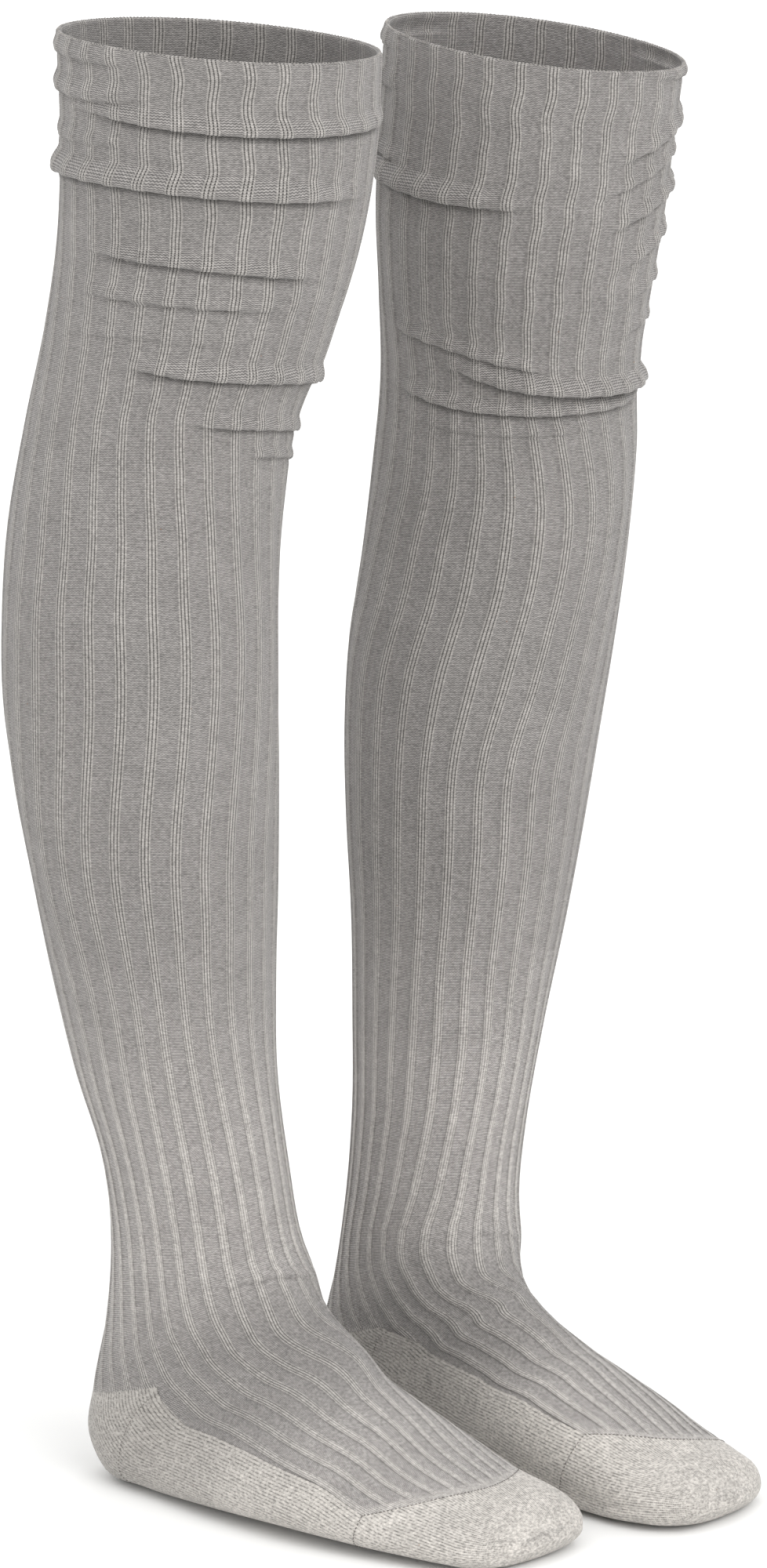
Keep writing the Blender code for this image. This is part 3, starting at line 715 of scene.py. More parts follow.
def mesh_object(form, name, known, quads, triangles, same):
    """The mesh, with its points' knitting stored as attributes."""
    if STANCE[form["foot"]]["mirror"] > 0:
        quads, triangles = quads[:, ::-1], triangles[:, ::-1]
    corners = np.concatenate([quads.ravel(), triangles.ravel()])
    kept, welded = np.unique(same[corners], return_inverse=True)
    split = quads.size
    faces = welded[:split].reshape(-1, 4).tolist() + welded[split:].reshape(-1, 3).tolist()
    mesh = bpy.data.meshes.new(name)
    mesh.from_pydata(place_in_world(form, known["points"][kept]).tolist(), [], faces)
    mesh.uv_layers.new(name="knit").data.foreach_set("uv", known["knit"][corners].ravel())
    outward = place_in_world(form, known["outward"][kept], is_direction=True)
    stored = mesh.attributes.new("outward", "FLOAT_VECTOR", "POINT")
    stored.data.foreach_set("vector", outward.ravel())
    rib_place = known["knit"][kept, 0] / WALES_PER_RIB
    for label, values in (("ribbed", known["ribbed"][kept]), ("relief", known["relief"][kept]),
                          ("relaxed", known["relaxed"][kept]), ("rib_place", rib_place),
                          ("painted_roll_shade", known["painted_roll_shade"][kept])):
        mesh.attributes.new(label, "FLOAT", "POINT").data.foreach_set("value", values)
    piece = bpy.data.objects.new(name, mesh)
    bpy.context.collection.objects.link(piece)
    return piece


print("a wall is", PLAIN_WALL, "mm thick in plain knit")

# %% [markdown]
# ## Raising the ribs
# On the real sock a rib is three wales of knit stitches that spring forward of six wales of purl
# stitches. Ribs repeat round the leg by a rule, so a Geometry Nodes tree raises them: it reads
# each point's place in the rib repeat and moves it along the outward direction. The rib's height,
# its share of the repeat, the softness of its edge and the level of plain knit are inputs.

# %% Geometry Nodes: ribs
RIB_SHARE = 0.34
RIB_EDGE = 0.08


def new_tree(name, sizes):
    """A Geometry Nodes tree with a geometry, named sizes and a material as its inputs."""
    tree = bpy.data.node_groups.new(name, "GeometryNodeTree")
    tree.interface.new_socket("Geometry", in_out="INPUT", socket_type="NodeSocketGeometry")
    for label in sizes:
        tree.interface.new_socket(label, in_out="INPUT", socket_type="NodeSocketFloat")
    tree.interface.new_socket("Material", in_out="INPUT", socket_type="NodeSocketMaterial")
    tree.interface.new_socket("Geometry", in_out="OUTPUT", socket_type="NodeSocketGeometry")
    return tree


def rib_tree():
    tree = new_tree("raise_the_ribs", ("Rib height", "Rib share", "Edge softness", "Plain level"))
    given = add_node(tree, "NodeGroupInput").outputs
    place = add_node(tree, "GeometryNodeInputNamedAttribute", {"Name": "rib_place"},
                     data_type="FLOAT")
    ribbed = add_node(tree, "GeometryNodeInputNamedAttribute", {"Name": "ribbed"},
                      data_type="FLOAT")
    relief = add_node(tree, "GeometryNodeInputNamedAttribute", {"Name": "relief"},
                      data_type="FLOAT")
    outward = add_node(tree, "GeometryNodeInputNamedAttribute", {"Name": "outward"},
                       data_type="FLOAT_VECTOR")
    phase = add_node(tree, "ShaderNodeMath", {0: place}, operation="FRACT")
    centred = add_node(tree, "ShaderNodeMath", {0: phase, 1: 0.5}, operation="SUBTRACT")
    away = add_node(tree, "ShaderNodeMath", {0: centred}, operation="ABSOLUTE")
    top = add_node(tree, "ShaderNodeMath", {0: given["Rib share"], 1: 0.5}, operation="MULTIPLY")
    foot = add_node(tree, "ShaderNodeMath", {0: top, 1: given["Edge softness"]}, operation="ADD")
    deepest = add_node(tree, "ShaderNodeMath", {0: given["Rib height"], 1: -1.0},
                       operation="MULTIPLY")
    plain = add_node(tree, "ShaderNodeMath", {0: given["Plain level"], 1: -1.0},
                     operation="MULTIPLY")
    in_ribs = add_node(tree, "ShaderNodeMapRange", {
        "Value": away, "From Min": foot, "From Max": top, "To Min": deepest, "To Max": 0.0,
    }, interpolation_type="SMOOTHSTEP")
    level_there = add_node(tree, "ShaderNodeMapRange", {
        "Value": ribbed, "To Min": plain, "To Max": in_ribs,
    })
    on_the_outside = add_node(tree, "ShaderNodeMath", {0: level_there, 1: relief},
                              operation="MULTIPLY")
    offset = add_node(tree, "ShaderNodeVectorMath", {0: outward, "Scale": on_the_outside},
                      operation="SCALE")
    moved = add_node(tree, "GeometryNodeSetPosition",
                     {"Geometry": given["Geometry"], "Offset": offset})
    whole = add_node(tree, "GeometryNodeRealizeInstances", {"Geometry": moved})
    dressed = add_node(tree, "GeometryNodeSetMaterial",
                       {"Geometry": whole, "Material": given["Material"]})
    add_node(tree, "NodeGroupOutput", {"Geometry": dressed})
    return tree


def made_plain(piece, tree, values):
    """Runs a tree on a piece and keeps the result as an ordinary mesh."""
    modifier = piece.modifiers.new(tree.name, "NODES")
    modifier.node_group = tree
    for item in tree.interface.items_tree:
        if item.item_type == "SOCKET" and item.in_out == "INPUT" and item.name in values:
            modifier[item.identifier] = values[item.name]
    evaluated = piece.evaluated_get(bpy.context.evaluated_depsgraph_get())
    mesh = bpy.data.meshes.new_from_object(evaluated)
    piece.modifiers.remove(modifier)
    piece.data = mesh
    mesh.name = piece.name


raise_ribs = rib_tree()
print("tree ready:", raise_ribs.name)

# %% [markdown]
# ## Loops along the edges
# The turned edge of the cuff ends in a row of small round loops, and the toe is closed by linking,
# which leaves a row of short stitches. A second tree sets one loop after another along a line of
# points: their length, width, thickness and distance are inputs, and a fixed seed makes each a
# little larger or smaller than the next.

# %% Geometry Nodes: loops on a line
LOOP_SEED = 7
LOOPS_UNEVEN = (0.8, 1.2)     # smallest and largest loop, as a share of the stated size


def loop_tree():
    tree = new_tree("loops_on_a_line", ("Loop length", "Loop width", "Loop thickness", "Spacing"))
    given = add_node(tree, "NodeGroupInput").outputs
    outward = add_node(tree, "GeometryNodeInputNamedAttribute", {"Name": "outward"},
                       data_type="FLOAT_VECTOR")
    line = add_node(tree, "GeometryNodeMeshToCurve", {"Mesh": given["Geometry"]})
    places = add_node(tree, "GeometryNodeCurveToPoints",
                      {"Curve": line, "Length": given["Spacing"]}, mode="LENGTH")
    turned = add_node(tree, "FunctionNodeAxesToRotation", {
        "Primary Axis": outward, "Secondary Axis": places.outputs["Tangent"],
    }, primary_axis="Z", secondary_axis="X")
    ball = add_node(tree, "GeometryNodeMeshUVSphere", {"Segments": 8, "Rings": 5, "Radius": 0.5})
    size = add_node(tree, "ShaderNodeCombineXYZ", {
        "X": given["Loop length"], "Y": given["Loop width"], "Z": given["Loop thickness"],
    })
    uneven = add_node(tree, "FunctionNodeRandomValue", {
        2: LOOPS_UNEVEN[0], 3: LOOPS_UNEVEN[1], "Seed": LOOP_SEED,
    },
                      data_type="FLOAT")
    scale = add_node(tree, "ShaderNodeVectorMath", {0: size, "Scale": uneven.outputs[1]},
                     operation="SCALE")
    loops = add_node(tree, "GeometryNodeInstanceOnPoints", {
        "Points": places, "Instance": ball, "Rotation": turned, "Scale": scale,
    })
    whole = add_node(tree, "GeometryNodeRealizeInstances", {"Geometry": loops})
    smooth = add_node(tree, "GeometryNodeSetShadeSmooth", {"Geometry": whole})
    dressed = add_node(tree, "GeometryNodeSetMaterial",
                       {"Geometry": smooth, "Material": given["Material"]})
    add_node(tree, "NodeGroupOutput", {"Geometry": dressed})
    return tree


def line_on_sock(form, name, turns, distances, offset):
    """A line of points on the cloth, for loops to sit on."""
    points, outward, _ = face_points(form, turns, distances, np.full(len(turns), offset))
    mesh = bpy.data.meshes.new(name)
    edges = [(i, i + 1) for i in range(len(points) - 1)]
    mesh.from_pydata(place_in_world(form, points).tolist(), edges, [])
    stored = mesh.attributes.new("outward", "FLOAT_VECTOR", "POINT")
    stored.data.foreach_set("vector", place_in_world(form, outward, is_direction=True).ravel())
    line = bpy.data.objects.new(name, mesh)
    bpy.context.collection.objects.link(line)
    return line


set_loops = loop_tree()
print("tree ready:", set_loops.name)

# %% [markdown]
# ## The yarn
# The yarn is a heather: pale grey fibres with darker ones mixed in before spinning, and a rare
# brown one. Mixed fibres show as short flecks along each stitch, so the noise is stretched along
# the course. Over that lie soft clouds of lighter and darker cloth, a hand's breadth or less.

# %% Heather yarn
FLECK_COLUMNS = ("along", "across", "detail", "darkest", "palest")
FLECKS = (
    (1.6, 0.9, 1.0, 0.70, 1.30),       # single fibres' ends
    (7.0, 4.0, 1.0, 0.94, 1.06),       # a stretch of yarn that took more dark fibre
    (24.0, 17.0, 0.0, 0.96, 1.04),     # clouds from one hank to the next
)
BROWN_EVERY_MM = 17
BROWN_SPOT_MM = 0.45
BROWN = "#7d5638"
BROWN_SHARE = 0.6             # of a brown fibre's own colour that shows
NOISE_RANGE = (0.25, 0.75)    # where nearly all of the noise's values lie
COTTON = {"Roughness": 0.92, "Specular IOR Level": 0.15,
          "Sheen Weight": 0.18, "Sheen Roughness": 0.6}


def in_millimetres(tree, along_mm, across_mm):
    """Object coordinates in which one unit is this far round the leg and this far down it."""
    where = add_node(tree, "ShaderNodeTexCoord")
    return add_node(tree, "ShaderNodeVectorMath", {
        0: where.outputs["Object"], 1: (1000 / along_mm, 1000 / along_mm, 1000 / across_mm),
    }, operation="MULTIPLY")


def heather(tree):
    """The mixed yarn's tone over the cloth, about 1, and where its brown fibres lie."""
    tone = None
    for row in FLECKS:
        fleck = dict(zip(FLECK_COLUMNS, row))
        noise = add_node(tree, "ShaderNodeTexNoise", {
            "Vector": in_millimetres(tree, fleck["along"], fleck["across"]),
            "Scale": 1.0, "Detail": fleck["detail"], "Roughness": 0.7,
        })
        part = add_node(tree, "ShaderNodeMapRange", {
            "Value": noise.outputs["Fac"], "From Min": NOISE_RANGE[0], "From Max": NOISE_RANGE[1],
            "To Min": fleck["darkest"], "To Max": fleck["palest"],
        })
        tone = part if tone is None else add_node(
            tree, "ShaderNodeMath", {0: tone, 1: part}, operation="MULTIPLY")
    cells = add_node(tree, "ShaderNodeTexVoronoi", {
        "Vector": in_millimetres(tree, BROWN_EVERY_MM, BROWN_EVERY_MM), "Scale": 1.0,
    })
    spot = BROWN_SPOT_MM / BROWN_EVERY_MM
    brown = add_node(tree, "ShaderNodeMapRange", {
        "Value": cells.outputs["Distance"], "From Min": spot, "From Max": spot / 2,
        "To Max": BROWN_SHARE,
    })
    return {"tone": tone, "brown": brown}


def dress_surface(tree, colour, height, yarn):
    """Soft matt cotton: hardly any shine, and a pale nap where it is seen edge on."""
    relaxed = add_node(tree, "ShaderNodeAttribute", attribute_name="relaxed")
    closed_up = add_node(tree, "ShaderNodeMapRange", {
        "Value": relaxed.outputs["Fac"], "To Min": 1.0, "To Max": RELAXED_PALER,
    })
    tone = add_node(tree, "ShaderNodeMath", {0: yarn["tone"], 1: closed_up}, operation="MULTIPLY")
    # Painted shade under the slack rolls darkens the yarn's colour here.
    painted_roll_shade = add_node(tree, "ShaderNodeAttribute", attribute_name="painted_roll_shade")
    roll_shade_factor = add_node(tree, "ShaderNodeMapRange", {
        "Value": painted_roll_shade.outputs["Fac"], "To Min": 1.0, "To Max": CREASE_SHADE,
    })
    shaded = add_node(tree, "ShaderNodeMath", {0: tone, 1: roll_shade_factor}, operation="MULTIPLY")
    toned = add_node(tree, "ShaderNodeVectorMath", {0: colour, "Scale": shaded},
                     operation="SCALE")
    mixed = add_node(tree, "ShaderNodeMixRGB", {
        "Fac": yarn["brown"], "Color1": toned, "Color2": linear(BROWN),
    })
    bump = add_node(tree, "ShaderNodeBump", {
        "Strength": BUMP_STRENGTH, "Distance": BUMP_MM * MM, "Height": height,
    })
    surface = add_node(tree, "ShaderNodeBsdfPrincipled",
                       COTTON | {"Base Color": mixed, "Normal": bump})
    add_node(tree, "ShaderNodeOutputMaterial", {"Surface": surface})


# Painted shade: stretched knit is coloured darker for the shade in its open gaps; knit that closes up
# at the ankle and foot loses it and is paler.
RELAXED_PALER = 1.38          # knit that isn't stretched shows no dark gaps, so it is paler
# Painted shade: the colour under a roll is darkened to this share.
CREASE_SHADE = 0.55           # cloth pressed together under a roll hardly gets any light
BUMP_STRENGTH = 0.5
BUMP_MM = 0.35
print(len(FLECKS), "sizes of fleck in the yarn")

# %% [markdown]
# ## Ribbed knit
# In a rib each wale is a column of V shapes, with painted shade in the hollow in the middle of every
# V, so the eye sees pale cords parted by dotted dark lines, and more painted shade on each strand's
# far side.
# Between ribs the back of the stitches shows: a wave along each course, coloured darker as painted
# shade of the groove it lies in. One course is 0.7 mm, close to the finest the picture can hold, and
# is drawn at its real size.

# %% Ribbed knit
# The darker colours and depths below are painted shade: in the hollow of each stitch, on the far side
# of each strand and in the grooves between ribs.
RIB_LIGHT = "#a5a19d"
RIB_SHADED = "#3f3d3b"
PANEL_LIGHT = "#a09c99"
PANEL_SHADED = "#4e4c4b"
HOLLOW_SHADE_WHEN_RELAXED = 0.55   # how dark the hollows stay where the knit closes up
WALE_WAVE = 0.16              # how far a course waves up and down, in courses
V_SLANT = 1.1                 # courses that a stitch's leg climbs across one wale
RIB_HOLLOW = (0.26, 0.06)     # from a wale's middle, where its hollow begins and is deepest
KNIT_SIDE = (0.205, 0.165)    # from a rib's middle, where its colour begins and is full
# Painted shade along both sides of each rib, where its flank turns from the light and the panel lies
# in its shade.
SHADE_LINE_OUT = 0.02          # how far beyond the rib's top its dark edge line lies
SHADE_LINE_REACH = (0.045, 0.01)     # from that line, where it begins and is full
EDGE_SHADE_DEPTH = (0.12, 0.38)     # how dark it is on stretched and on relaxed knit
STRAND_SHADE_DEPTH = 0.40           # how dark the far side of a strand gets


def new_material(name):
    material = bpy.data.materials.new(name)
    material.use_nodes = True
    material.node_tree.nodes.clear()
    return material, material.node_tree


def v_stitches(tree, wale, course, hollow_reach):
    """Columns of V shapes: how deep in its wale's hollow a place is, and its step in the course."""
    in_wale = add_node(tree, "ShaderNodeMath", {0: wale}, operation="FRACT")
    from_middle = add_node(tree, "ShaderNodeMath", {0: in_wale, 1: 0.5}, operation="SUBTRACT")
    leg = add_node(tree, "ShaderNodeMath", {0: from_middle}, operation="ABSOLUTE")
    hollow = add_node(tree, "ShaderNodeMapRange", {
        "Value": leg, "From Min": hollow_reach[0], "From Max": hollow_reach[1],
    }, interpolation_type="SMOOTHSTEP")
    slanted = add_node(tree, "ShaderNodeMath", {0: leg, 1: -V_SLANT, 2: course},
                       operation="MULTIPLY_ADD")
    turn = add_node(tree, "ShaderNodeMath", {0: slanted, 1: 2 * math.pi}, operation="MULTIPLY")
    return hollow, add_node(tree, "ShaderNodeMath", {0: turn}, operation="COSINE")


def rib_knit():
    material, tree = new_material("heather_cotton_rib_knit")
    stitches = add_node(tree, "ShaderNodeUVMap", uv_map="knit")
    split = add_node(tree, "ShaderNodeSeparateXYZ", {0: stitches})
    wale, course = split.outputs["X"], split.outputs["Y"]
    yarn = heather(tree)

    # Which wales stand up as a rib
    repeat = add_node(tree, "ShaderNodeMath", {0: wale, 1: WALES_PER_RIB}, operation="DIVIDE")
    phase = add_node(tree, "ShaderNodeMath", {0: repeat}, operation="FRACT")
    centred = add_node(tree, "ShaderNodeMath", {0: phase, 1: 0.5}, operation="SUBTRACT")
    away = add_node(tree, "ShaderNodeMath", {0: centred}, operation="ABSOLUTE")
    on_rib = add_node(tree, "ShaderNodeMapRange", {
        "Value": away, "From Min": KNIT_SIDE[0], "From Max": KNIT_SIDE[1],
    }, interpolation_type="SMOOTHSTEP")
    # Painted shade: a thin dark line just outside each edge of a rib.
    from_edge = add_node(tree, "ShaderNodeMath", {0: away, 1: RIB_SHARE / 2 + SHADE_LINE_OUT},
                         operation="SUBTRACT")
    off_edge = add_node(tree, "ShaderNodeMath", {0: from_edge}, operation="ABSOLUTE")
    rib_edge_shade = add_node(tree, "ShaderNodeMapRange", {
        "Value": off_edge, "From Min": SHADE_LINE_REACH[0], "From Max": SHADE_LINE_REACH[1],
    }, interpolation_type="SMOOTHSTEP")
    ribbed = add_node(tree, "ShaderNodeAttribute", attribute_name="ribbed")
    unribbed = add_node(tree, "ShaderNodeMath", {0: 1.0, 1: ribbed.outputs["Fac"]},
                        operation="SUBTRACT")
    knit_side = add_node(tree, "ShaderNodeMath", {0: on_rib, 1: unribbed}, operation="MAXIMUM")

    # Columns of V shapes with a dot of painted shade in each, and painted shade on each strand's far
    # side
    hollow, step = v_stitches(tree, wale, course, RIB_HOLLOW)
    dot = add_node(tree, "ShaderNodeMapRange", {
        "Value": step, "From Min": -1.0, "From Max": 1.0, "To Min": 0.45, "To Max": 1.0,
    })
    relaxed = add_node(tree, "ShaderNodeAttribute", attribute_name="relaxed")
    opened = add_node(tree, "ShaderNodeMapRange", {
        "Value": relaxed.outputs["Fac"], "To Min": 1.15, "To Max": HOLLOW_SHADE_WHEN_RELAXED,
    })
    open_dot = add_node(tree, "ShaderNodeMath", {0: dot, 1: opened}, operation="MULTIPLY")
    dotted = add_node(tree, "ShaderNodeMath", {0: hollow, 1: open_dot}, operation="MULTIPLY",
                      use_clamp=True)
    strand = add_node(tree, "ShaderNodeMapRange", {
        "Value": step, "From Min": -1.0, "From Max": 1.0, "To Min": 0.0, "To Max": STRAND_SHADE_DEPTH,
    })
    knit_shade = add_node(tree, "ShaderNodeMath", {0: dotted, 1: strand}, operation="ADD")

    # Waving courses of the stitches' backs, painted darker between the waves as shade
    wave_at = add_node(tree, "ShaderNodeMath", {0: wale, 1: 2 * math.pi}, operation="MULTIPLY")
    wave = add_node(tree, "ShaderNodeMath", {0: wave_at}, operation="SINE")
    waved = add_node(tree, "ShaderNodeMath", {0: wave, 1: WALE_WAVE, 2: course},
                     operation="MULTIPLY_ADD")
    purl_at = add_node(tree, "ShaderNodeMath", {0: waved, 1: 2 * math.pi}, operation="MULTIPLY")
    purl = add_node(tree, "ShaderNodeMath", {0: purl_at}, operation="SINE")
    purl_shade = add_node(tree, "ShaderNodeMapRange", {
        "Value": purl, "From Min": -0.9, "From Max": 0.9, "To Min": 0.1, "To Max": 0.9,
    })

    knit_colour = add_node(tree, "ShaderNodeMixRGB", {
        "Fac": knit_shade, "Color1": linear(RIB_LIGHT), "Color2": linear(RIB_SHADED),
    })
    panel_colour = add_node(tree, "ShaderNodeMixRGB", {
        "Fac": purl_shade, "Color1": linear(PANEL_LIGHT), "Color2": linear(PANEL_SHADED),
    })
    face_colour = add_node(tree, "ShaderNodeMixRGB", {
        "Fac": knit_side, "Color1": panel_colour, "Color2": knit_colour,
    })
    # Painted shade at the rib's edges, deeper where the knit closes up.
    rib_edge_shade_depth = add_node(tree, "ShaderNodeMapRange", {
        "Value": relaxed.outputs["Fac"], "To Min": EDGE_SHADE_DEPTH[0], "To Max": EDGE_SHADE_DEPTH[1],
    })
    rib_edge_shade_dark = add_node(tree, "ShaderNodeMath", {0: rib_edge_shade, 1: rib_edge_shade_depth},
                         operation="MULTIPLY")
    rib_edge_shade_shown = add_node(tree, "ShaderNodeMath", {0: rib_edge_shade_dark, 1: ribbed.outputs["Fac"]},
                          operation="MULTIPLY")
    colour = add_node(tree, "ShaderNodeMixRGB", {
        "Fac": rib_edge_shade_shown, "Color1": face_colour, "Color2": linear(RIB_SHADED),
    })
    dark = add_node(tree, "ShaderNodeMixRGB", {
        "Fac": knit_side, "Color1": purl_shade, "Color2": knit_shade,
    })
    height = add_node(tree, "ShaderNodeMath", {0: 1.0, 1: dark}, operation="SUBTRACT")
    dress_surface(tree, colour, height, yarn)
    return material


ribbed_knit = rib_knit()
print("material ready:", ribbed_knit.name)

# %% [markdown]
# ## Plain knit
# The heel, sole and toe are knitted plain. Their wales are fine lengthwise lines of short dashes
# of painted shade, where the yarn of each stitch lies deep, which the yarn's own flecks break up, so
# the eye sees a grainy, paler cloth.

# %% Plain knit
PLAIN_LIGHT = "#9d9994"
PLAIN_SHADED = "#35332f"
PLAIN_HOLLOW = (0.28, 0.04)


def plain_knit_material():
    material, tree = new_material("heather_cotton_plain_knit")
    stitches = add_node(tree, "ShaderNodeUVMap", uv_map="knit")
    split = add_node(tree, "ShaderNodeSeparateXYZ", {0: stitches})
    wale, course = split.outputs["X"], split.outputs["Y"]
    yarn = heather(tree)
    # Painted shade in each stitch's hollow, broken up by the yarn's flecks.
    hollow, step = v_stitches(tree, wale, course, PLAIN_HOLLOW)
    dot = add_node(tree, "ShaderNodeMapRange", {
        "Value": step, "From Min": -1.0, "From Max": 1.0, "To Min": 0.3, "To Max": 0.9,
    })
    broken = add_node(tree, "ShaderNodeMapRange", {
        "Value": yarn["tone"], "From Min": 0.8, "From Max": 1.2, "To Min": 1.0, "To Max": 0.3,
    })
    dotted = add_node(tree, "ShaderNodeMath", {0: hollow, 1: dot}, operation="MULTIPLY")
    drawn = add_node(tree, "ShaderNodeMath", {0: dotted, 1: broken}, operation="MULTIPLY")
    colour = add_node(tree, "ShaderNodeMixRGB", {
        "Fac": drawn, "Color1": linear(PLAIN_LIGHT), "Color2": linear(PLAIN_SHADED),
    })
    height = add_node(tree, "ShaderNodeMath", {0: 1.0, 1: drawn}, operation="SUBTRACT")
    dress_surface(tree, colour, height, yarn)
    return material


plain_knit = plain_knit_material()
print("material ready:", plain_knit.name)

# %% [markdown]
# ## Knitting the pair
# Each sock is laid out in the order it is knitted: the cuff, turned over and so thicker, the
# ribbed leg, the plain heel pocket, the ribbed instep, the plain sole and the plain toe. Rows of
# points stand close together where the cloth is slack and further apart down the smooth leg.

# %% Rows and columns of points
SLACK_STEPS = ((33, 72, 0.75), (72, 122, 1.25), (122, 185, 0.8), (185, 526, 8.5))
ANKLE_STEP = 2.2
INNER_STEPS = ((33, 185, 3.0), (185, 526, 12.0))
RIBS_FADE = 2.5               # mm over which the ribs sink into plain knit
INSTEP_STEP = 2               # mm
HEEL_ROWS = 25
SOLE_ROWS = 60
TOE_ROWS = 24
TOE_ROWS_CROWD = 1.5          # the toe's rows crowd together towards its tip by this power
SHARP_ANGLE = math.radians(75)


def leg_rows(length, steps):
    """Distances below the cuff, as shares: fine in the slack cloth and at the ankle."""
    parts = [np.arange(*stretch) for stretch in steps]
    ankle = np.arange(steps[-1][1], length - 1, ANKLE_STEP)
    places = np.concatenate(parts + [ankle, [length]])
    return (places - CUFF_DEPTH) / (length - CUFF_DEPTH)


def cuff_rows():
    rim = np.array([0.0, 0.12, 0.3, 0.6, 1.1, 2.0, 3.2])
    return np.concatenate([rim, np.linspace(4.0, CUFF_DEPTH, 38)]) / CUFF_DEPTH


def ribs_until(edge, fade):
    """Ribs all the way down to an edge, sinking into plain knit just before it."""
    def ribbed(turn, distance):
        return np.clip((edge(turn) - distance) / fade, 0, 1)
    return ribbed


def leg_ribs(form):
    """Ribs run over the instep, but at the back they stop at the heel line."""
    heel_at = heel_line(form)

    def ribbed(turn, distance):
        to_edge = np.clip((heel_at(turn) - distance) / RIBS_FADE, 0, 1)
        return np.where(from_middle_line(turn) < SIDE, 1.0, to_edge)
    return ribbed


def all_ribbed(turn, distance):
    return np.ones_like(distance)


def all_plain(turn, distance):
    return np.zeros_like(distance)


print(len(leg_rows(560, SLACK_STEPS)), "rows of points down a leg")

# %% [markdown]
# ## Loops and linking
# The same yarn, twisted tighter: the rim's loops are rounder and paler, and the linking at the toe
# and along the heel's gores is flatter, and coloured darker as painted shade of the seam's crease it
# lies in.

# %% Loops of the rim and the seams
YARN_LIGHT = "#8f8b87"
# Painted shade: the linking yarn is coloured darker for the shade of the seam's crease.
SEAM_SHADED_YARN = "#6b6763"


def yarn_material(name, colour):
    material, tree = new_material(name)
    yarn = heather(tree)
    toned = add_node(tree, "ShaderNodeVectorMath",
                     {0: linear(colour)[:3], "Scale": yarn["tone"]}, operation="SCALE")
    surface = add_node(tree, "ShaderNodeBsdfPrincipled", COTTON | {"Base Color": toned})
    add_node(tree, "ShaderNodeOutputMaterial", {"Surface": surface})
    return material


loop_yarn = yarn_material("heather_cotton_edge_loops", YARN_LIGHT)
seam_yarn = yarn_material("heather_cotton_linking_stitches", SEAM_SHADED_YARN)
LINE_POINTS = 400
GORE_POINTS = 60
GORE_START = 0.44             # turn round the leg, just short of the back middle
RIM_LOOPS_DOWN = 0.15         # mm below the very top
RIM_LOOPS_SUNK = CUFF_RIM * 0.9
SEAM_LIFT = 0.1               # mm that the linking stands above the plain knit
LOOP_COLUMNS = ("Loop length", "Loop width", "Loop thickness", "Spacing")
LOOP_SIZES = {
    "rim_loops": (1.1, 0.7, 0.8, 1.75),
    "toe_links": (1.1, 0.45, 0.5, 1.7),
    "heel_links": (0.9, 0.45, 0.5, 1.9),
}


def edge_loops(form):
    """The loops of a sock's rim, toe seam and heel gores, by the piece that they belong to."""
    heel_at, pocket_at, seam_at = heel_line(form), heel_end(form), toe_seam(form)
    round_leg = np.linspace(0, 1, LINE_POINTS)
    gores = np.linspace(GORE_START, SIDE, GORE_POINTS)
    rim_line = np.full(LINE_POINTS, RIM_LOOPS_DOWN)
    on_plain = SEAM_LIFT - PLAIN_LEVEL
    lines = {
        ("cuff", "rim_loops", 0): (round_leg, rim_line, -RIM_LOOPS_SUNK, loop_yarn),
        ("toe", "toe_links", 0): (round_leg, seam_at(round_leg), on_plain, seam_yarn),
        ("heel", "heel_links", 0): (gores, pocket_at(gores), on_plain, seam_yarn),
        ("heel", "heel_links", 1): (1 - gores, pocket_at(1 - gores), on_plain, seam_yarn),
    }
    made = {}
    for (part, kind, number), (turns, distances, offset, material) in lines.items():
        name = f"{form['foot']}_{kind}" + ("_outer" if number else "")
        line = line_on_sock(form, name, turns, distances, offset)
        sizes = {label: size * MM for label, size in zip(LOOP_COLUMNS, LOOP_SIZES[kind])}
        made_plain(line, set_loops, sizes | {"Material": material})
        made.setdefault(part, []).append(line)
    return made


print(len(LOOP_SIZES), "kinds of loop")

# %% [markdown]
# ## The two socks
# A piece is described by its upper and lower edge, its rows and columns and how it is knitted. One
# loop then knits all six, raises the ribs where there are any, and gives each its yarn.

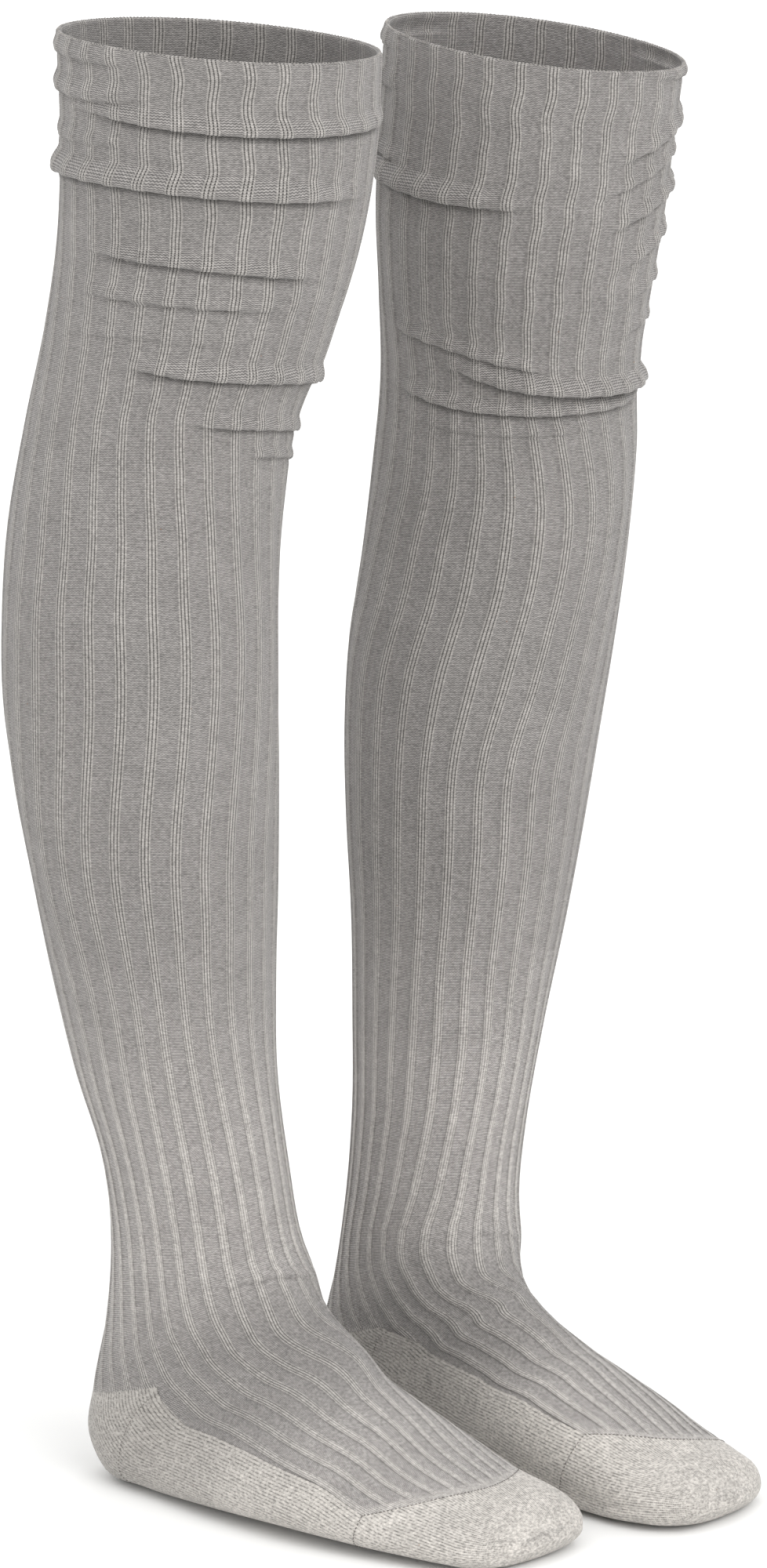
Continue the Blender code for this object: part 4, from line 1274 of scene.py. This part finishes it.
# %% Build both socks
def build_sock(form):
    heel_at, pocket_at, seam_at = heel_line(form), heel_end(form), toe_seam(form)
    whole_outer = np.linspace(0, 1, OUTER_COLUMNS + 1)
    whole_inner = np.linspace(0, 1, INNER_COLUMNS + 1)
    ribbed = {"ring": True, "sunk": 0.0, "wall": WALL, "ribbed": all_ribbed,
              "outer_turns": whole_outer, "inner_turns": whole_inner}
    plain = {"ring": False, "sunk": PLAIN_LEVEL, "wall": PLAIN_WALL, "ribbed": all_plain,
             "outer_turns": np.linspace(SIDE, 1 - SIDE, OUTER_COLUMNS // 4 + 1),
             "inner_turns": np.linspace(SIDE, 1 - SIDE, INNER_COLUMNS // 2 + 1)}
    side = np.array([SIDE])
    instep_length = float((seam_at(side) - heel_at(side))[0])
    leg_length = float(heel_at(side)[0])
    shapes = {
        "cuff": ribbed | {"top": level(0), "bottom": level(CUFF_DEPTH), "rows": cuff_rows(),
                          "wall": CUFF_WALL, "rim": CUFF_RIM},
        "leg": ribbed | {"top": level(CUFF_DEPTH), "bottom": heel_at,
                         "rows": leg_rows(leg_length, SLACK_STEPS),
                         "inner_rows": leg_rows(leg_length, INNER_STEPS),
                         "ribbed": leg_ribs(form)},
        "instep": ribbed | {"ring": False, "top": heel_at, "bottom": seam_at,
                            "rows": np.linspace(0, 1, int(instep_length / INSTEP_STEP)),
                            "outer_turns": np.linspace(-SIDE, SIDE, OUTER_COLUMNS + 1),
                            "inner_turns": np.linspace(-SIDE, SIDE, INNER_COLUMNS // 2 + 1),
                            "ribbed": ribs_until(lambda turn: seam_at(turn) - PLAIN_BAND,
                                                 RIBS_FADE)},
        "heel": plain | {"top": heel_at, "bottom": pocket_at, "rows": np.linspace(0, 1, HEEL_ROWS)},
        "sole": plain | {"top": pocket_at, "bottom": seam_at, "rows": np.linspace(0, 1, SOLE_ROWS)},
        "toe": plain | {"ring": True, "top": seam_at, "bottom": level(form["length"]),
                        "rows": 1 - np.linspace(1, 0, TOE_ROWS) ** TOE_ROWS_CROWD, "closed_end": True,
                        "outer_turns": np.linspace(0, 1, OUTER_COLUMNS // 2 + 1),
                        "inner_turns": whole_inner},
    }
    sizes = {"Rib height": RIB_HEIGHT * MM, "Rib share": RIB_SHARE, "Edge softness": RIB_EDGE,
             "Plain level": PLAIN_LEVEL * MM}
    pieces = {}
    for part, shape in shapes.items():
        piece = knit_wall(form, f"{form['foot']}_{part}_knit", shape)
        if shape["sunk"] == 0:
            made_plain(piece, raise_ribs, sizes | {"Material": ribbed_knit})
        else:
            piece.data.materials.append(plain_knit)
        piece.data.shade_smooth()
        piece.data.set_sharp_from_angle(angle=SHARP_ANGLE)
        pieces[part] = piece
    return pieces


socks = {foot: build_sock(form) for foot, form in forms.items()}
loops = {foot: edge_loops(form) for foot, form in forms.items()}
for foot, pieces in socks.items():
    print(foot, {part: sum(len(face.vertices) - 2 for face in piece.data.polygons)
                 for part, piece in pieces.items()})

# %% [markdown]
# ## Floor and light
# A catalogue picture like this is taken on a white sweep with large soft lamps, so that the only
# shadow is a soft one under the feet. The floor is one plain pale plane. Seen from the camera, the
# main lamp stands to the right, a weaker one to the left, and one hangs above.

# %% Floor and lights
FLOOR_COLOUR = "#f2f2f1"


def floor_plane():
    half = 16.0
    height = -FLOOR_TO_ORIGIN
    mesh = bpy.data.meshes.new("floor")
    corners = [(-half, -half, height), (half, -half, height),
               (half, half, height), (-half, half, height)]
    mesh.from_pydata(corners, [], [(0, 1, 2, 3)])
    material, tree = new_material("matt_white_paper_floor")
    surface = add_node(tree, "ShaderNodeBsdfPrincipled", {
        "Base Color": linear(FLOOR_COLOUR), "Roughness": 0.9, "Specular IOR Level": 0.1,
    })
    add_node(tree, "ShaderNodeOutputMaterial", {"Surface": surface})
    mesh.materials.append(material)
    plane = bpy.data.objects.new("floor", mesh)
    bpy.context.collection.objects.link(plane)
    return plane


ROOM_LIGHT = 1.12             # light from all round, off the studio's white walls
LAMP_COLUMNS = ("name", "azimuth", "elevation", "softness", "strength")
LAMPS = (
    ("key", -16, 34, 40, 1.2),
    ("fill", -70, 12, 80, 0.35),
    ("top", -50, 75, 60, 0.3),
)


def add_lamp(row):
    """A far soft lamp, given by where it stands round the pair and how high."""
    lamp = dict(zip(LAMP_COLUMNS, row))
    data = bpy.data.lights.new(lamp["name"], "SUN")
    data.angle = math.radians(lamp["softness"])
    data.energy = lamp["strength"]
    thing = bpy.data.objects.new(lamp["name"], data)
    bpy.context.collection.objects.link(thing)
    thing.rotation_euler = (math.radians(90 - lamp["elevation"]), 0, math.radians(lamp["azimuth"]))


floor = floor_plane()
for row in LAMPS:
    add_lamp(row)
world = bpy.data.worlds.new("studio")
world.use_nodes = True
world.node_tree.nodes["Background"].inputs["Color"].default_value = linear("#ffffff")
world.node_tree.nodes["Background"].inputs["Strength"].default_value = ROOM_LIGHT
bpy.context.scene.world = world
bpy.context.scene.view_settings.view_transform = "Standard"    # so that white paper comes out white
print(len(LAMPS), "lamps")

# %% [markdown]
# ## Putting the pieces in place
# Every knitted piece stands in for its solid and moves with the pair. A cut size is stated for each
# as a maker would note it, the tube laid flat and opened out, as it is stretched on the leg.


def flat_cut(form, part):
    """Width and length of a piece opened out flat, as it is on the leg."""
    girth = np.linalg.norm(np.diff(form["points"], axis=1, append=form["points"][:, :1]), axis=2)
    girth = girth.sum(axis=1)
    places = np.linspace(0, form["length"], len(girth))
    side, back, front = np.array([SIDE]), np.array([0.5]), np.array([0.0])
    heel_at, pocket_at, seam_at = heel_line(form), heel_end(form), toe_seam(form)
    spans = {
        "cuff": (1.0, 0.0, CUFF_DEPTH),
        "leg": (1.0, CUFF_DEPTH, float(heel_at(side)[0])),
        "instep": (0.5, float(heel_at(front)[0]), float(seam_at(front)[0])),
        "heel": (0.5, float(heel_at(back)[0]), float(pocket_at(back)[0])),
        "sole": (0.5, float(heel_at(side)[0]), float(seam_at(back)[0])),
        "toe": (1.0, float(seam_at(side)[0]), form["length"]),
    }
    share, start, end = spans[part]
    within = (places >= start - 1) & (places <= end + 1)
    width = share * girth[within].max()
    return width * MM, (end - start) * MM


for foot, pieces in socks.items():
    for part, piece in pieces.items():
        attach(piece, "root")
        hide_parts(f"{foot}_{part}")
        width, length = flat_cut(forms[foot], part)
        on_it = loops[foot].get(part, [])
        for extra in on_it:
            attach(extra, "root")
            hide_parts(f"{foot}_{part}")
        print(piece.name, "flat", round(width, 3), "by", round(length, 3), "m")
